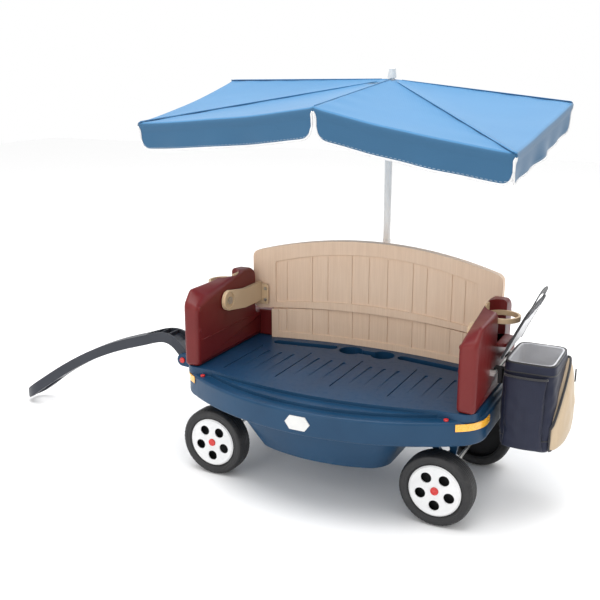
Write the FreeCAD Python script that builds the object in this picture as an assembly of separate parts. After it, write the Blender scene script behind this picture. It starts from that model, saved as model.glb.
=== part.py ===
"""Child's pull wagon with a swing-over backrest, sun umbrella and hang-on cooler bag.

Units are millimetres, +Z is up.  While the pieces are being made the origin is on the floor
under the middle of the wagon: +X runs to the rear end (cooler bag), -X to the handle end and
+Y to the backrest.  At the end every piece is moved by one shift, so that the origin is at the
centre of the whole assembly's plan box, on the floor.
"""
import FreeCAD
import Part
import math
import os

V = FreeCAD.Vector
AXIS_X = V(1, 0, 0)
AXIS_Y = V(0, 1, 0)
AXIS_Z = V(0, 0, 1)

# ---- fits ----------------------------------------------------------------------------------
RUN_GAP = 0.06          # radial clearance of a shaft in its hole
FACE_GAP = 0.4          # clearance between faces of pieces that move past each other
SEAT_GAP = 0.3          # clearance round an insert held in a pocket

# ---- wheels and axles ----------------------------------------------------------------------
WHEEL_R = 100.0
WHEEL_WIDTH = 58.0
WHEEL_BASE = 677.0
TRACK_OUTER = 461.0     # between the outer faces of a pair of wheels
RIM_R = 76.0            # radius where the tyre meets the wheel core
TREAD_GROOVE = 2.0
HUBCAP_R = 72.0
HUBCAP_DISH = 7.0
HUBCAP_THICK = 3.0
HUBCAP_HOLES = 5
HUBCAP_HOLE_R = 14.5
HUBCAP_HOLE_PITCH_R = 41.0
AXLE_R = 5.0
AXLE_END_GAP = 3.0      # from the end of the axle to the hubcap's face
RED_CAP_R = 11.0
HUB_BOSS_R = 16.0
BRACKET_Y = 149.0       # centre of an axle bracket
BRACKET_THICK = 16.0
BRACKET_TOP_WIDTH = 84.0
BRACKET_R = 15.0

# ---- body ----------------------------------------------------------------------------------
RIM_MID_Y = 345.0       # half width at the middle of the bowed sides
RIM_END_X = 445.0       # half length
RIM_BOW_X = 400.0       # where the bowed side is RIM_BOW_Y from the centre line
RIM_BOW_Y = 225.0
CORNER_R = 95.0
SKIRT_Z = 235.0
RIM_Z = 302.0
LEDGE_Z = 312.0
DECK_Z = 322.0
LEDGE_MID_Y = 312.0
DECK_MID_Y = 274.0
PLATFORM_X = 433.0
PLATFORM_Y = 223.0
PLATFORM_CORNER = 40.0
EDGE_R = 8.0
BODY_WALL = 4.5
TUB_Z = 124.0
TUB_TOP_X = 262.0
TUB_TOP_Y = 296.0
TUB_FOOT_X = 196.0
TUB_FOOT_Y = 252.0
TUB_CORNER = 70.0

# deck pattern
PLANK_PITCH = 168.0
PLANK_FIRST_X = -317.0
PLANK_COUNT = 4
PLANK_LINE_WIDTH = 4.0
PLANK_LINE_Y = (-188.0, 46.0)
WEDGE_Y = (-155.0, 6.0)
WEDGE_WIDTH = 9.0
GROOVE_DEPTH = 3.0
CUP_X = 52.0
CUP_Y = 121.0
CUP_R = 36.0
CUP_DEPTH = 24.0
CUP_WAIST = 34.0
TRAY_IN_X = 116.0
TRAY_OUT_X = 288.0
TRAY_IN_Y = 124.0
TRAY_OUT_Y = 98.0
TRAY_WIDTH = 34.0
TRAY_DEPTH = 14.0

# ---- end panels ----------------------------------------------------------------------------
PANEL_IN_X = 381.0
PANEL_THICK = 50.0
PANEL_NOSE_Y = -220.0
PANEL_BACK_Y = 123.0
POST_FACE_Y = 147.0
POST_BACK_Y = 192.0
POST_IN_X = 335.0
POST_TOP_Z = 406.0
PANEL_WALL = 4.0
PANEL_FRONT_TOP_Z = 512.0
PANEL_DIP_Z = 538.0
PANEL_HIGH_Z = 556.0
PANEL_LINE_Z = 400.0
PANEL_LINE_DEPTH = 1.6

# cup rings
RING_X = 432.0
RING_Y = 8.0
RING_R = 47.0
RING_BORE_R = 40.0
RING_Z = 515.0
RING_HEIGHT = 13.0
WELL_FLOOR_Z = 462.0
WELL_EASE = 2.0         # the well below the ring is this much wider than its bore
SHELF_THICK = 10.0
SHELF_X = 456.0         # how far the cup shelf stands out

# ---- backrest ------------------------------------------------------------------------------
BACK_BOW_R = 1440.0     # bow of the fixed lower panel
LOWER_FACE_Y = 175.0    # its front face at the middle
LOWER_THICK = 20.0
SWING_BOW_R = 2550.0    # bow of the swinging upper panel
UPPER_FACE_Y = 165.0
UPPER_THICK = 25.0
UPPER_HALF_X = 398.0
UPPER_FOOT_END_Z = 412.0
UPPER_FOOT_MID_Z = 432.0
UPPER_TOP_END_Z = 598.0
UPPER_TOP_MID_Z = 653.0
BACK_PARTING = 3.0      # between the two panels, at the rest position
FRAME_BAND = 42.0
FIELD_DEPTH = 4.0
BATTEN_WIDTH = 9.0
BATTEN_PROUD = 2.5
BATTEN_X = (-207.0, -76.0, 120.0, 242.0)
SEAM_X = (-287.0, -151.0, -16.0, 44.0, 169.0, 288.0)
SEAM_WIDTH = 2.2
SEAM_DEPTH = 1.5

SWING_Y = -64.0         # pivot of the swinging panel
SWING_Z = 487.0
ARM_THICK = 12.0
ARM_R = 30.0
ARM_FOOT_Z = 443.0
PLATE_IN_X = 344.0
PLATE_OUT_X = 394.0
PLATE_Z = (430.0, 496.0)
PLATE_THICK = 4.0
PIVOT_SCREW_R = 6.0
PIVOT_HEAD_R = 11.0
PIVOT_HEAD_THICK = 4.0
PLATE_SCREW_R = 5.0

# ---- handle --------------------------------------------------------------------------------
HITCH_X = -553.0
HITCH_Z = 267.0
EAR_IN_Y = 38.0
EAR_THICK = 15.0
EAR_R = 20.0
HITCH_PIN_R = 5.0
HANDLE_HALF_WIDTH = 28.0
YOKE_HALF_WIDTH = 37.0
LOOP_HALF_WIDTH = 45.0
HANDLE_HALF_THICK = 16.0
HANDLE_TIP_X = -1262.0
LOOP_START_X = -1092.0
LOOP_WALL = 19.0
CHANNEL_DEPTH = 17.0
CHANNEL_WALL = 6.0
CHANNEL_END_X = -716.0
CHANNEL_RIB = 3.0

# ---- trim ----------------------------------------------------------------------------------
REFLECTOR_Z = (278.0, 297.0)
REFLECTOR_X = 388.0
REFLECTOR_THICK = 2.5
BADGE_HALF_X = 36.0
BADGE_HALF_Z = 19.0
BADGE_Z = 270.0
BADGE_THICK = 3.0
PLUG_X = 362.0
PLUG_Y = 231.0
PLUG_R = 6.5

# ---- umbrella ------------------------------------------------------------------------------
POLE_Y = 265.0
POLE_R = 11.0
POLE_WALL = 1.4
SLEEVE_WALL = 1.6
SLEEVE_R = POLE_R + SLEEVE_WALL
POLE_FOOT_Z = 246.0
SLEEVE_TOP_Z = 648.0
POLE_OVERLAP = 90.0
TILT_Z = 950.0
LEAN_DEG = 10.6         # lean of the canopy's axis from vertical
LEAN_TURN_DEG = 27.0    # plan direction of the lean, from -Y towards +X
STUB_LENGTH = 171.0
APEX_S = 180.0          # from the tilt pivot to the top of the cover
HUB_S = 152.0
RUNNER_S = 62.0
HUB_R = 20.0
RIB_R = 2.5
STRETCHER_R = 2.2
COVER_THICK = 3.0
VALANCE_DROP = 80.0
CANOPY_CORNERS = (
    (-650.0, -100.0, TILT_Z + 55.0),
    (-20.0, -220.0, TILT_Z + 118.0),
    (490.0, -200.0, TILT_Z + 24.0),
    (500.0, 420.0, TILT_Z + 115.0),
    (-20.0, 620.0, TILT_Z + 140.0),
    (-620.0, 390.0, TILT_Z + 167.5),
)

# ---- cooler bag ----------------------------------------------------------------------------
BAG_BACK_X = RIM_END_X + 13.0
BAG_DEPTH = 144.0
BAG_FRONT_X = BAG_BACK_X + BAG_DEPTH
BAG_HALF_Y = 106.0
BAG_FOOT_Z = 198.0
BAG_TOP_Z = 436.0
BAG_WALL = 5.0
LINER_WALL = 3.0
LID_THICK = 8.0
LID_OPEN_DEG = 65.0
LID_LOOP_REACH = 36.0
RAIL_Z = 398.0
RAIL_R = 4.0
RAIL_HALF_Y = 92.0
HOOK_HALF_Y = 60.0
HOOK_WIDTH = 22.0
HOOK_THICK = 2.5
POCKET_BULGE = 26.0
FRONT_POCKET_BULGE = 12.0


# ---- small helpers -------------------------------------------------------------------------
def box(x0, x1, y0, y1, z0, z1):
    return Part.makeBox(x1 - x0, y1 - y0, z1 - z0, V(x0, y0, z0))


def rod(radius, start, end):
    return Part.makeCylinder(radius, (end - start).Length, start, end - start)


def tube(outer, inner, start, end):
    return rod(outer, start, end).cut(rod(inner, start, end))


def polygon_prism(points, direction):
    """Solid between a planar polygon and its copy moved by direction."""
    wire = Part.makePolygon([V(*p) for p in points] + [V(*points[0])])
    return Part.Face(wire).extrude(direction)


def hull_solid(top, bottom):
    """Solid with two like polygons as its ends and flat sides between them."""
    faces = [polygon_face(top), polygon_face(list(reversed(bottom)))]
    count = len(top)
    for i in range(count):
        j = (i + 1) % count
        faces.append(polygon_face([top[i], bottom[i], bottom[j], top[j]]))
    solid = Part.Solid(Part.Shell(faces))
    if solid.Volume < 0:
        solid.reverse()
    return solid


def polygon_face(points):
    return Part.Face(Part.makePolygon(list(points) + [points[0]]))


def mirrored_x(shape):
    return shape.mirror(V(0, 0, 0), AXIS_X)


def mirrored_y(shape):
    return shape.mirror(V(0, 0, 0), AXIS_Y)


def arc(start, mid, end):
    return Part.Arc(start, mid, end).toShape()


def fillet_edges(shape, radius, keep):
    """Round the edges for which keep(edge) is true."""
    edges = [e for e in shape.Edges if keep(e)]
    return shape.makeFillet(radius, edges)


# ---- plan outlines -------------------------------------------------------------------------
def bowed_outline(mid_y, bow_x, bow_y, end_x, corner, inset, z):
    """Closed plan wire: straight ends, bowed sides and tangent round corners."""
    rise = mid_y - bow_y
    radius = (bow_x ** 2 + rise ** 2) / (2 * rise)
    centre_y = mid_y - radius
    radius -= inset
    end_x -= inset
    corner -= inset
    corner_x = end_x - corner
    corner_y = centre_y + math.sqrt((radius - corner) ** 2 - corner_x ** 2)
    angle = math.atan2(corner_y - centre_y, corner_x)
    tangent = V(radius * math.cos(angle), centre_y + radius * math.sin(angle), z)
    half = angle / 2
    middle = V(corner_x + corner * math.cos(half), corner_y + corner * math.sin(half), z)
    end = V(end_x, corner_y, z)

    def flip(point, sx, sy):
        return V(point.x * sx, point.y * sy, z)

    edges = []
    for sy in (1, -1):
        side_mid = V(0, (centre_y + radius) * sy, z)
        edges.append(arc(flip(tangent, -1, sy), side_mid, flip(tangent, 1, sy)))
        for sx in (1, -1):
            edges.append(arc(flip(tangent, sx, sy), flip(middle, sx, sy), flip(end, sx, sy)))
    for sx in (1, -1):
        edges.append(Part.LineSegment(flip(end, sx, -1), flip(end, sx, 1)).toShape())
    return Part.Wire(Part.__sortEdges__(edges))


def rim_outline(inset, z):
    return bowed_outline(RIM_MID_Y, RIM_BOW_X, RIM_BOW_Y, RIM_END_X, CORNER_R, inset, z)


def platform(mid_y, inset, z0, z1):
    """Raised deck layer: a lens over the bowed sides joined to a rounded rectangle."""
    half_x = PLATFORM_X - inset
    half_y = PLATFORM_Y - inset
    slab = box(-half_x, half_x, -half_y, half_y, z0, z1)
    slab = fillet_edges(slab, PLATFORM_CORNER - inset, is_upright)
    meet_x = PANEL_IN_X - 45.0
    arcs = []
    for sign in (1, -1):
        tip = PLATFORM_Y * sign
        crown = V(0, mid_y * sign, z0)
        arcs.append(arc(V(-meet_x, tip, z0), crown, V(meet_x, tip, z0)))
    ends = [Part.LineSegment(V(s * meet_x, -PLATFORM_Y, z0), V(s * meet_x, PLATFORM_Y, z0)).toShape()
            for s in (1, -1)]
    lens = Part.Face(Part.Wire(Part.__sortEdges__(arcs + ends)))
    if inset:
        lens = lens.makeOffset2D(-inset)
    return slab.fuse(lens.extrude(V(0, 0, z1 - z0))).removeSplitter()


def is_upright(edge):
    box_ = edge.BoundBox
    return box_.ZLength > 1 and box_.XLength < 0.01 and box_.YLength < 0.01


def tub_solid(inset):
    """Lower hull between the wheels: a tapered tub with round plan corners."""
    def ring(half_x, half_y, z):
        bow = half_y - 34.0
        return bowed_outline(half_y, half_x - 20.0, bow, half_x, TUB_CORNER, inset, z)
    top = ring(TUB_TOP_X, TUB_TOP_Y, SKIRT_Z + EDGE_R + 2)
    middle = ring(TUB_FOOT_X + 26.0, (TUB_TOP_Y + TUB_FOOT_Y) / 2 + 4.0, (SKIRT_Z + TUB_Z) / 2)
    foot = ring(TUB_FOOT_X, TUB_FOOT_Y, TUB_Z + inset)
    return Part.makeLoft([foot, middle, top], True, False)


# ---- body ----------------------------------------------------------------------------------
def plank_lines():
    return [PLANK_FIRST_X + PLANK_PITCH * i for i in range(PLANK_COUNT)]


def deck_grooves():
    """Long plank lines and the short ramped wedges between them."""
    tools = []
    low, high = PLANK_LINE_Y
    half = PLANK_LINE_WIDTH / 2
    for x in plank_lines():
        tools.append(box(x - half, x + half, low, high, DECK_Z - GROOVE_DEPTH, DECK_Z + 1))
        for step in (1, 2, 3):
            tools.append(wedge_groove(x + step * PLANK_PITCH / 4))
    return tools


def wedge_groove(x):
    low, high = WEDGE_Y
    half = WEDGE_WIDTH / 2
    ramp = polygon_prism([(x - half, low, DECK_Z), (x - half, high, DECK_Z - GROOVE_DEPTH),
                          (x - half, high, DECK_Z + 1), (x - half, low, DECK_Z + 1)],
                         V(WEDGE_WIDTH, 0, 0))
    head = rod(half, V(x, high, DECK_Z - GROOVE_DEPTH), V(x, high, DECK_Z + 1))
    return ramp.fuse(head)


def slot_solid(start, end, width, z0, z1):
    """Stadium-shaped block between two plan points."""
    direction = (end - start).normalize()
    side = V(-direction.y, direction.x, 0) * (width / 2)
    corners = [start + side, end + side, end - side, start - side]
    block = polygon_prism([(c.x, c.y, z0) for c in corners], V(0, 0, z1 - z0))
    for point in (start, end):
        block = block.fuse(rod(width / 2, V(point.x, point.y, z0), V(point.x, point.y, z1)))
    return block


def deck_recesses(grow):
    """Twin cup recess and the two long trays, grown by a wall for the inner skin."""
    top = DECK_Z + 1
    cup_floor = DECK_Z - CUP_DEPTH - grow
    tray_floor = DECK_Z - TRAY_DEPTH - grow
    shapes = []
    for sign in (-1, 1):
        centre = V(sign * CUP_X, CUP_Y, 0)
        shapes.append(rod(CUP_R + grow, centre + V(0, 0, cup_floor), centre + V(0, 0, top)))
        inner = V(sign * TRAY_IN_X, TRAY_IN_Y, 0)
        outer = V(sign * TRAY_OUT_X, TRAY_OUT_Y, 0)
        shapes.append(slot_solid(inner, outer, TRAY_WIDTH + 2 * grow, tray_floor, top))
    waist = CUP_WAIST / 2 + grow
    shapes.append(box(-CUP_X, CUP_X, CUP_Y - waist, CUP_Y + waist, cup_floor, top))
    return shapes


def hitch_ears():
    """Two lugs at the handle end that carry the hitch pin."""
    ears = []
    root_x = -RIM_END_X + BODY_WALL
    for sign in (-1, 1):
        y0 = sign * EAR_IN_Y
        y1 = sign * (EAR_IN_Y + EAR_THICK)
        low, high = min(y0, y1), max(y0, y1)
        arm = polygon_prism([(root_x, low, RIM_Z - 4), (HITCH_X, low, HITCH_Z + EAR_R),
                             (HITCH_X, low, HITCH_Z - EAR_R), (root_x, low, SKIRT_Z + 6)],
                            V(0, high - low, 0))
        arm = arm.fuse(rod(EAR_R, V(HITCH_X, low, HITCH_Z), V(HITCH_X, high, HITCH_Z)))
        ears.append(arm)
    return ears


def make_body():
    skirt = Part.Face(rim_outline(0, SKIRT_Z)).extrude(V(0, 0, RIM_Z - SKIRT_Z))
    flat = [e for e in skirt.Edges if e.BoundBox.ZLength < 0.01]
    skirt = skirt.makeFillet(EDGE_R, flat)
    ledge = platform(LEDGE_MID_Y, 0, RIM_Z - 1, LEDGE_Z)
    deck = platform(DECK_MID_Y, 0, LEDGE_Z - 1, DECK_Z)
    boss_foot = V(0, POLE_Y, RIM_Z - 1)
    boss = rod(SLEEVE_R + 12, boss_foot, V(0, POLE_Y, DECK_Z))
    outer = skirt.fuse([ledge, deck, boss, tub_solid(0)] + hitch_ears())

    wall = BODY_WALL
    void = Part.Face(rim_outline(wall, SKIRT_Z + wall)).extrude(V(0, 0, RIM_Z - SKIRT_Z - 2 * wall))
    void = void.fuse([platform(DECK_MID_Y, wall, RIM_Z - 2 * wall, DECK_Z - GROOVE_DEPTH - wall + 1),
                      tub_solid(wall)])
    well = rod(SLEEVE_R + wall, V(0, POLE_Y, POLE_FOOT_Z - 2 * wall), V(0, POLE_Y, DECK_Z))
    void = void.cut(deck_recesses(wall) + [well])

    body = outer.cut(deck_recesses(0) + deck_grooves())
    body = body.cut(rod(SLEEVE_R + RUN_GAP, V(0, POLE_Y, POLE_FOOT_Z), V(0, POLE_Y, DECK_Z + 1)))
    reach = EAR_IN_Y + EAR_THICK + 1
    body = body.cut(rod(HITCH_PIN_R + RUN_GAP, V(HITCH_X, -reach, HITCH_Z), V(HITCH_X, reach, HITCH_Z)))
    return body.cut(void)


# ---- end panels ----------------------------------------------------------------------------
def panel_profile(x):
    """Side outline of an end panel in the plane at x, from the nose round to the back."""
    points = [V(x, PANEL_NOSE_Y, PANEL_FRONT_TOP_Z), V(x, -184, PANEL_HIGH_Z),
              V(x, -112, PANEL_DIP_Z), V(x, 20, PANEL_HIGH_Z), V(x, PANEL_BACK_Y, 528.0)]
    crest = Part.BSplineCurve()
    crest.interpolate(points[1:])
    edges = [Part.LineSegment(points[0], points[1]).toShape(), crest.toShape()]
    corners = [points[-1], V(x, PANEL_BACK_Y, POST_TOP_Z), V(x, POST_BACK_Y, POST_TOP_Z),
               V(x, POST_BACK_Y, DECK_Z), V(x, PANEL_NOSE_Y, DECK_Z), points[0]]
    for a, b in zip(corners, corners[1:]):
        edges.append(Part.LineSegment(a, b).toShape())
    return Part.Face(Part.Wire(edges))


def make_end_panel():
    """Rear (+X) end panel with its corner post and cup well; the front one is its mirror."""
    outer_x = PANEL_IN_X + PANEL_THICK
    panel = panel_profile(PANEL_IN_X).extrude(V(PANEL_THICK, 0, 0))
    nose = [e for e in panel.Edges if abs(e.BoundBox.YMin - PANEL_NOSE_Y) < 0.01
            and e.BoundBox.YLength < 0.01 and e.BoundBox.ZLength > 50]
    front = [e for e in nose if e.BoundBox.XMin > PANEL_IN_X + 1]
    panel = panel.makeFillet(26.0, front)
    post = box(POST_IN_X, PANEL_IN_X, POST_FACE_Y, POST_BACK_Y, DECK_Z, POST_TOP_Z)
    shelf = rod(RING_R, V(RING_X, RING_Y, WELL_FLOOR_Z - SHELF_THICK), V(RING_X, RING_Y, WELL_FLOOR_Z))
    shelf = shelf.common(box(PANEL_IN_X + 10, SHELF_X, -200, 200, 0, 1000))
    panel = panel.fuse([post, shelf]).removeSplitter()

    void = box(PANEL_IN_X + PANEL_WALL, outer_x - PANEL_WALL, PANEL_NOSE_Y + 28,
               PANEL_BACK_Y - PANEL_WALL, DECK_Z + PANEL_WALL, PANEL_FRONT_TOP_Z)
    foot_void = box(PANEL_IN_X + PANEL_WALL, outer_x - PANEL_WALL, 0, POST_BACK_Y - PANEL_WALL,
                    DECK_Z + PANEL_WALL, POST_TOP_Z - PANEL_WALL)
    guard = rod(RING_R + PANEL_WALL, V(RING_X, RING_Y, WELL_FLOOR_Z - SHELF_THICK),
                V(RING_X, RING_Y, PANEL_HIGH_Z))
    panel = panel.cut(void.fuse(foot_void).cut(guard))

    centre = V(RING_X, RING_Y, 0)
    well = rod(RING_BORE_R + WELL_EASE, centre + V(0, 0, WELL_FLOOR_Z), centre + V(0, 0, RING_Z + 1))
    seat = rod(RING_R + SEAT_GAP, centre + V(0, 0, RING_Z), centre + V(0, 0, PANEL_HIGH_Z + 30))
    screw = rod(PIVOT_SCREW_R + RUN_GAP, V(PANEL_IN_X - 1, SWING_Y, SWING_Z),
                V(PANEL_IN_X + PANEL_WALL + 1, SWING_Y, SWING_Z))
    depth = PANEL_LINE_DEPTH
    line = box(PANEL_IN_X - 1, PANEL_IN_X + depth, PANEL_NOSE_Y + 12, POST_FACE_Y - 38,
               PANEL_LINE_Z - 1.5, PANEL_LINE_Z + 1.5)
    turn = box(PANEL_IN_X - 1, PANEL_IN_X + depth, POST_FACE_Y - 41, POST_FACE_Y - 38,
               PANEL_LINE_Z - 1.5, PANEL_LINE_Z + 30)
    return panel.cut([well, seat, screw, line, turn])


def make_cup_ring():
    centre = V(RING_X, RING_Y, 0)
    ring = tube(RING_R, RING_BORE_R, centre + V(0, 0, RING_Z), centre + V(0, 0, RING_Z + RING_HEIGHT))
    tab = tube(RING_R, RING_R - 4.0, centre + V(0, 0, RING_Z + RING_HEIGHT),
               centre + V(0, 0, RING_Z + RING_HEIGHT + 26))
    tab = tab.common(box(RING_X - RING_R - 1, RING_X - 22, RING_Y - 15, RING_Y + 15, 0, 1000))
    return ring.fuse(tab).removeSplitter()


# ---- backrest ------------------------------------------------------------------------------
def bowed_slab(face_y, bow_radius, thick, half_x, z0, z1):
    """Slab curved in plan: its front face is an arc through face_y at the middle."""
    centre_y = face_y - bow_radius
    front = rod(bow_radius, V(0, centre_y, z0), V(0, centre_y, z1))
    rear = rod(bow_radius + thick, V(0, centre_y, z0), V(0, centre_y, z1))
    window = box(-half_x, half_x, 0, face_y + thick + 5, z0, z1)
    return rear.cut(front).common(window)


def arched_window(half_x, foot_end, foot_mid, top_end, top_mid, corner):
    """Front view outline with arched foot and top, as a block through the panel."""
    y = -50.0
    foot = arc(V(-half_x, y, foot_end), V(0, y, foot_mid), V(half_x, y, foot_end))
    top = arc(V(-half_x, y, top_end), V(0, y, top_mid), V(half_x, y, top_end))
    sides = [Part.LineSegment(V(s * half_x, y, foot_end), V(s * half_x, y, top_end)).toShape()
             for s in (-1, 1)]
    face = Part.Face(Part.Wire(Part.__sortEdges__([foot, top] + sides)))
    block = face.extrude(V(0, 400, 0))
    edges = [e for e in block.Edges if e.BoundBox.YLength > 100]
    return block.makeFillet(corner, edges)


def field_strips(x_values, width, face_y, bow_radius, z0, z1, out, depth):
    """Flat upright strips along a bowed face: out in front of it, depth into it."""
    strips = []
    for x in x_values:
        y = face_y - bow_radius + math.sqrt(bow_radius ** 2 - x ** 2)
        strips.append(box(x - width / 2, x + width / 2, y - out, y + depth, z0, z1))
    return strips


def make_upper_back():
    panel = bowed_slab(UPPER_FACE_Y, SWING_BOW_R, UPPER_THICK, UPPER_HALF_X + 5,
                       UPPER_FOOT_END_Z - 5, UPPER_TOP_MID_Z + 5)
    panel = panel.common(arched_window(UPPER_HALF_X, UPPER_FOOT_END_Z, UPPER_FOOT_MID_Z,
                                       UPPER_TOP_END_Z, UPPER_TOP_MID_Z, 22.0))
    band = FRAME_BAND
    field = bowed_slab(UPPER_FACE_Y - 2, SWING_BOW_R - 2, 2 + FIELD_DEPTH, UPPER_HALF_X - 30,
                       UPPER_FOOT_END_Z, UPPER_TOP_MID_Z)
    field = field.common(arched_window(UPPER_HALF_X - 74, UPPER_FOOT_END_Z + 24, UPPER_FOOT_MID_Z + 24,
                                       UPPER_TOP_END_Z - band + 12, UPPER_TOP_MID_Z - band, 6.0))
    floor_y = UPPER_FACE_Y + FIELD_DEPTH
    floor_r = SWING_BOW_R + FIELD_DEPTH
    battens = field_strips(BATTEN_X, BATTEN_WIDTH, floor_y, floor_r, UPPER_FOOT_END_Z, UPPER_TOP_MID_Z,
                           BATTEN_PROUD, 2.0)
    seams = field_strips(SEAM_X, SEAM_WIDTH, floor_y, floor_r, UPPER_FOOT_END_Z, UPPER_TOP_MID_Z,
                         2.0, SEAM_DEPTH)
    seams = [s.common(arched_window(UPPER_HALF_X - 80, UPPER_FOOT_END_Z + 30, UPPER_FOOT_MID_Z + 30,
                                    UPPER_TOP_END_Z - band + 6, UPPER_TOP_MID_Z - band - 6, 6.0))
             for s in seams]
    field = field.cut(battens)
    wall = 4.0
    void = bowed_slab(UPPER_FACE_Y + FIELD_DEPTH + wall, SWING_BOW_R + FIELD_DEPTH + wall,
                      UPPER_THICK - FIELD_DEPTH - 2 * wall, UPPER_HALF_X - 2,
                      UPPER_FOOT_END_Z, UPPER_TOP_MID_Z)
    void = void.common(arched_window(UPPER_HALF_X - 10, UPPER_FOOT_END_Z + 8, UPPER_FOOT_MID_Z + 8,
                                     UPPER_TOP_END_Z - 8, UPPER_TOP_MID_Z - 8, 12.0))
    return panel.cut([field] + seams).cut(void)


def make_lower_back():
    half_x = POST_IN_X - SEAT_GAP
    top_mid = UPPER_FOOT_MID_Z - BACK_PARTING
    top_end = UPPER_FOOT_END_Z - BACK_PARTING
    panel = bowed_slab(LOWER_FACE_Y, BACK_BOW_R, LOWER_THICK, half_x, DECK_Z, top_mid)
    y = 0.0
    top = arc(V(-UPPER_HALF_X, y, top_end), V(0, y, top_mid), V(UPPER_HALF_X, y, top_end))
    corners = [V(UPPER_HALF_X, y, top_end), V(UPPER_HALF_X, y, DECK_Z - 1),
               V(-UPPER_HALF_X, y, DECK_Z - 1), V(-UPPER_HALF_X, y, top_end)]
    edges = [Part.LineSegment(a, b).toShape() for a, b in zip(corners, corners[1:])]
    window = Part.Face(Part.Wire(Part.__sortEdges__([top] + edges))).extrude(V(0, 400, 0))
    panel = panel.common(window)
    foot_band = DECK_Z + 20
    field = bowed_slab(LOWER_FACE_Y - 2, BACK_BOW_R - 2, 2 + 2.5, half_x - 22, foot_band, top_mid + 5)
    battens = [b for b in field_strips(BATTEN_X, BATTEN_WIDTH, LOWER_FACE_Y + 2.5, BACK_BOW_R + 2.5,
                                       foot_band - 1, top_mid + 5, 2.0, 2.0)]
    seams = field_strips(SEAM_X, SEAM_WIDTH, LOWER_FACE_Y + 2.5, BACK_BOW_R + 2.5, foot_band + 3,
                         top_mid + 5, 2.0, SEAM_DEPTH)
    void = bowed_slab(LOWER_FACE_Y + 7, BACK_BOW_R + 7, LOWER_THICK - 11, half_x - 6,
                      DECK_Z + 5, top_end - 8)
    return panel.cut([field.cut(battens)] + seams).cut(void)


def upper_face_y(x):
    """Front face of the swinging panel at x."""
    return UPPER_FACE_Y - SWING_BOW_R + math.sqrt(SWING_BOW_R ** 2 - x ** 2)


def make_swing_arm():
    """Rear (+X) bent bracket: an upright arm beside the end panel and a plate on the backrest."""
    out_x = PANEL_IN_X - 3.0
    in_x = out_x - ARM_THICK
    plate_y = upper_face_y(PLATE_OUT_X) - PLATE_THICK - 0.2
    top_z = SWING_Z + ARM_R - 14
    outline = [(in_x, SWING_Y, SWING_Z + ARM_R), (in_x, SWING_Y + 90, top_z),
               (in_x, plate_y + 1, top_z), (in_x, plate_y + 1, ARM_FOOT_Z),
               (in_x, SWING_Y + 90, ARM_FOOT_Z), (in_x, SWING_Y, SWING_Z - ARM_R)]
    arm = polygon_prism(outline, V(ARM_THICK, 0, 0))
    arm = arm.fuse(rod(ARM_R, V(in_x, SWING_Y, SWING_Z), V(out_x, SWING_Y, SWING_Z)))
    plate = box(PLATE_IN_X, PLATE_OUT_X, plate_y, plate_y + PLATE_THICK, PLATE_Z[0], PLATE_Z[1])
    plate = plate.makeFillet(8.0, [e for e in plate.Edges if e.BoundBox.YLength > 1])
    arm = arm.fuse(plate).removeSplitter()
    pocket = rod(ARM_R - 6, V(in_x - 1, SWING_Y, SWING_Z), V(in_x + 3, SWING_Y, SWING_Z))
    bore = rod(PIVOT_SCREW_R + RUN_GAP, V(in_x - 1, SWING_Y, SWING_Z), V(out_x + 1, SWING_Y, SWING_Z))
    return arm.cut([pocket, bore])


def make_pivot_screw():
    in_x = PANEL_IN_X - 3.0 - ARM_THICK + 3 - FACE_GAP
    head = rod(PIVOT_HEAD_R, V(in_x - PIVOT_HEAD_THICK, SWING_Y, SWING_Z), V(in_x, SWING_Y, SWING_Z))
    shank = rod(PIVOT_SCREW_R, V(in_x, SWING_Y, SWING_Z), V(PANEL_IN_X + 8, SWING_Y, SWING_Z))
    slot = box(in_x - PIVOT_HEAD_THICK - 1, in_x - PIVOT_HEAD_THICK + 1.4, SWING_Y - PIVOT_HEAD_R,
               SWING_Y + PIVOT_HEAD_R, SWING_Z - 1.2, SWING_Z + 1.2)
    return head.fuse(shank).cut(slot)


def make_plate_screws():
    heads = []
    plate_y = upper_face_y(PLATE_OUT_X) - PLATE_THICK - 0.2
    for sign in (-1, 1):
        for z in (PLATE_Z[0] + 15, PLATE_Z[1] - 15):
            x = sign * (PLATE_IN_X + 10)
            head = rod(PLATE_SCREW_R, V(x, plate_y - 2.6, z), V(x, plate_y, z))
            cross = box(x - 3, x + 3, plate_y - 3, plate_y - 1.6, z - 0.7, z + 0.7)
            heads.append(head.cut(cross))
    return Part.makeCompound(heads)


# ---- handle --------------------------------------------------------------------------------
HANDLE_LINE = (
    (HITCH_X, HITCH_Z), (-577.0, 297.0), (-612.0, 320.0), (-655.0, 321.0), (-705.0, 306.0),
    (-800.0, 275.0), (-900.0, 236.0), (-1000.0, 186.0), (-1100.0, 125.0), (-1190.0, 62.0),
    (HANDLE_TIP_X + 30, 33.0),
)


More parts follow.
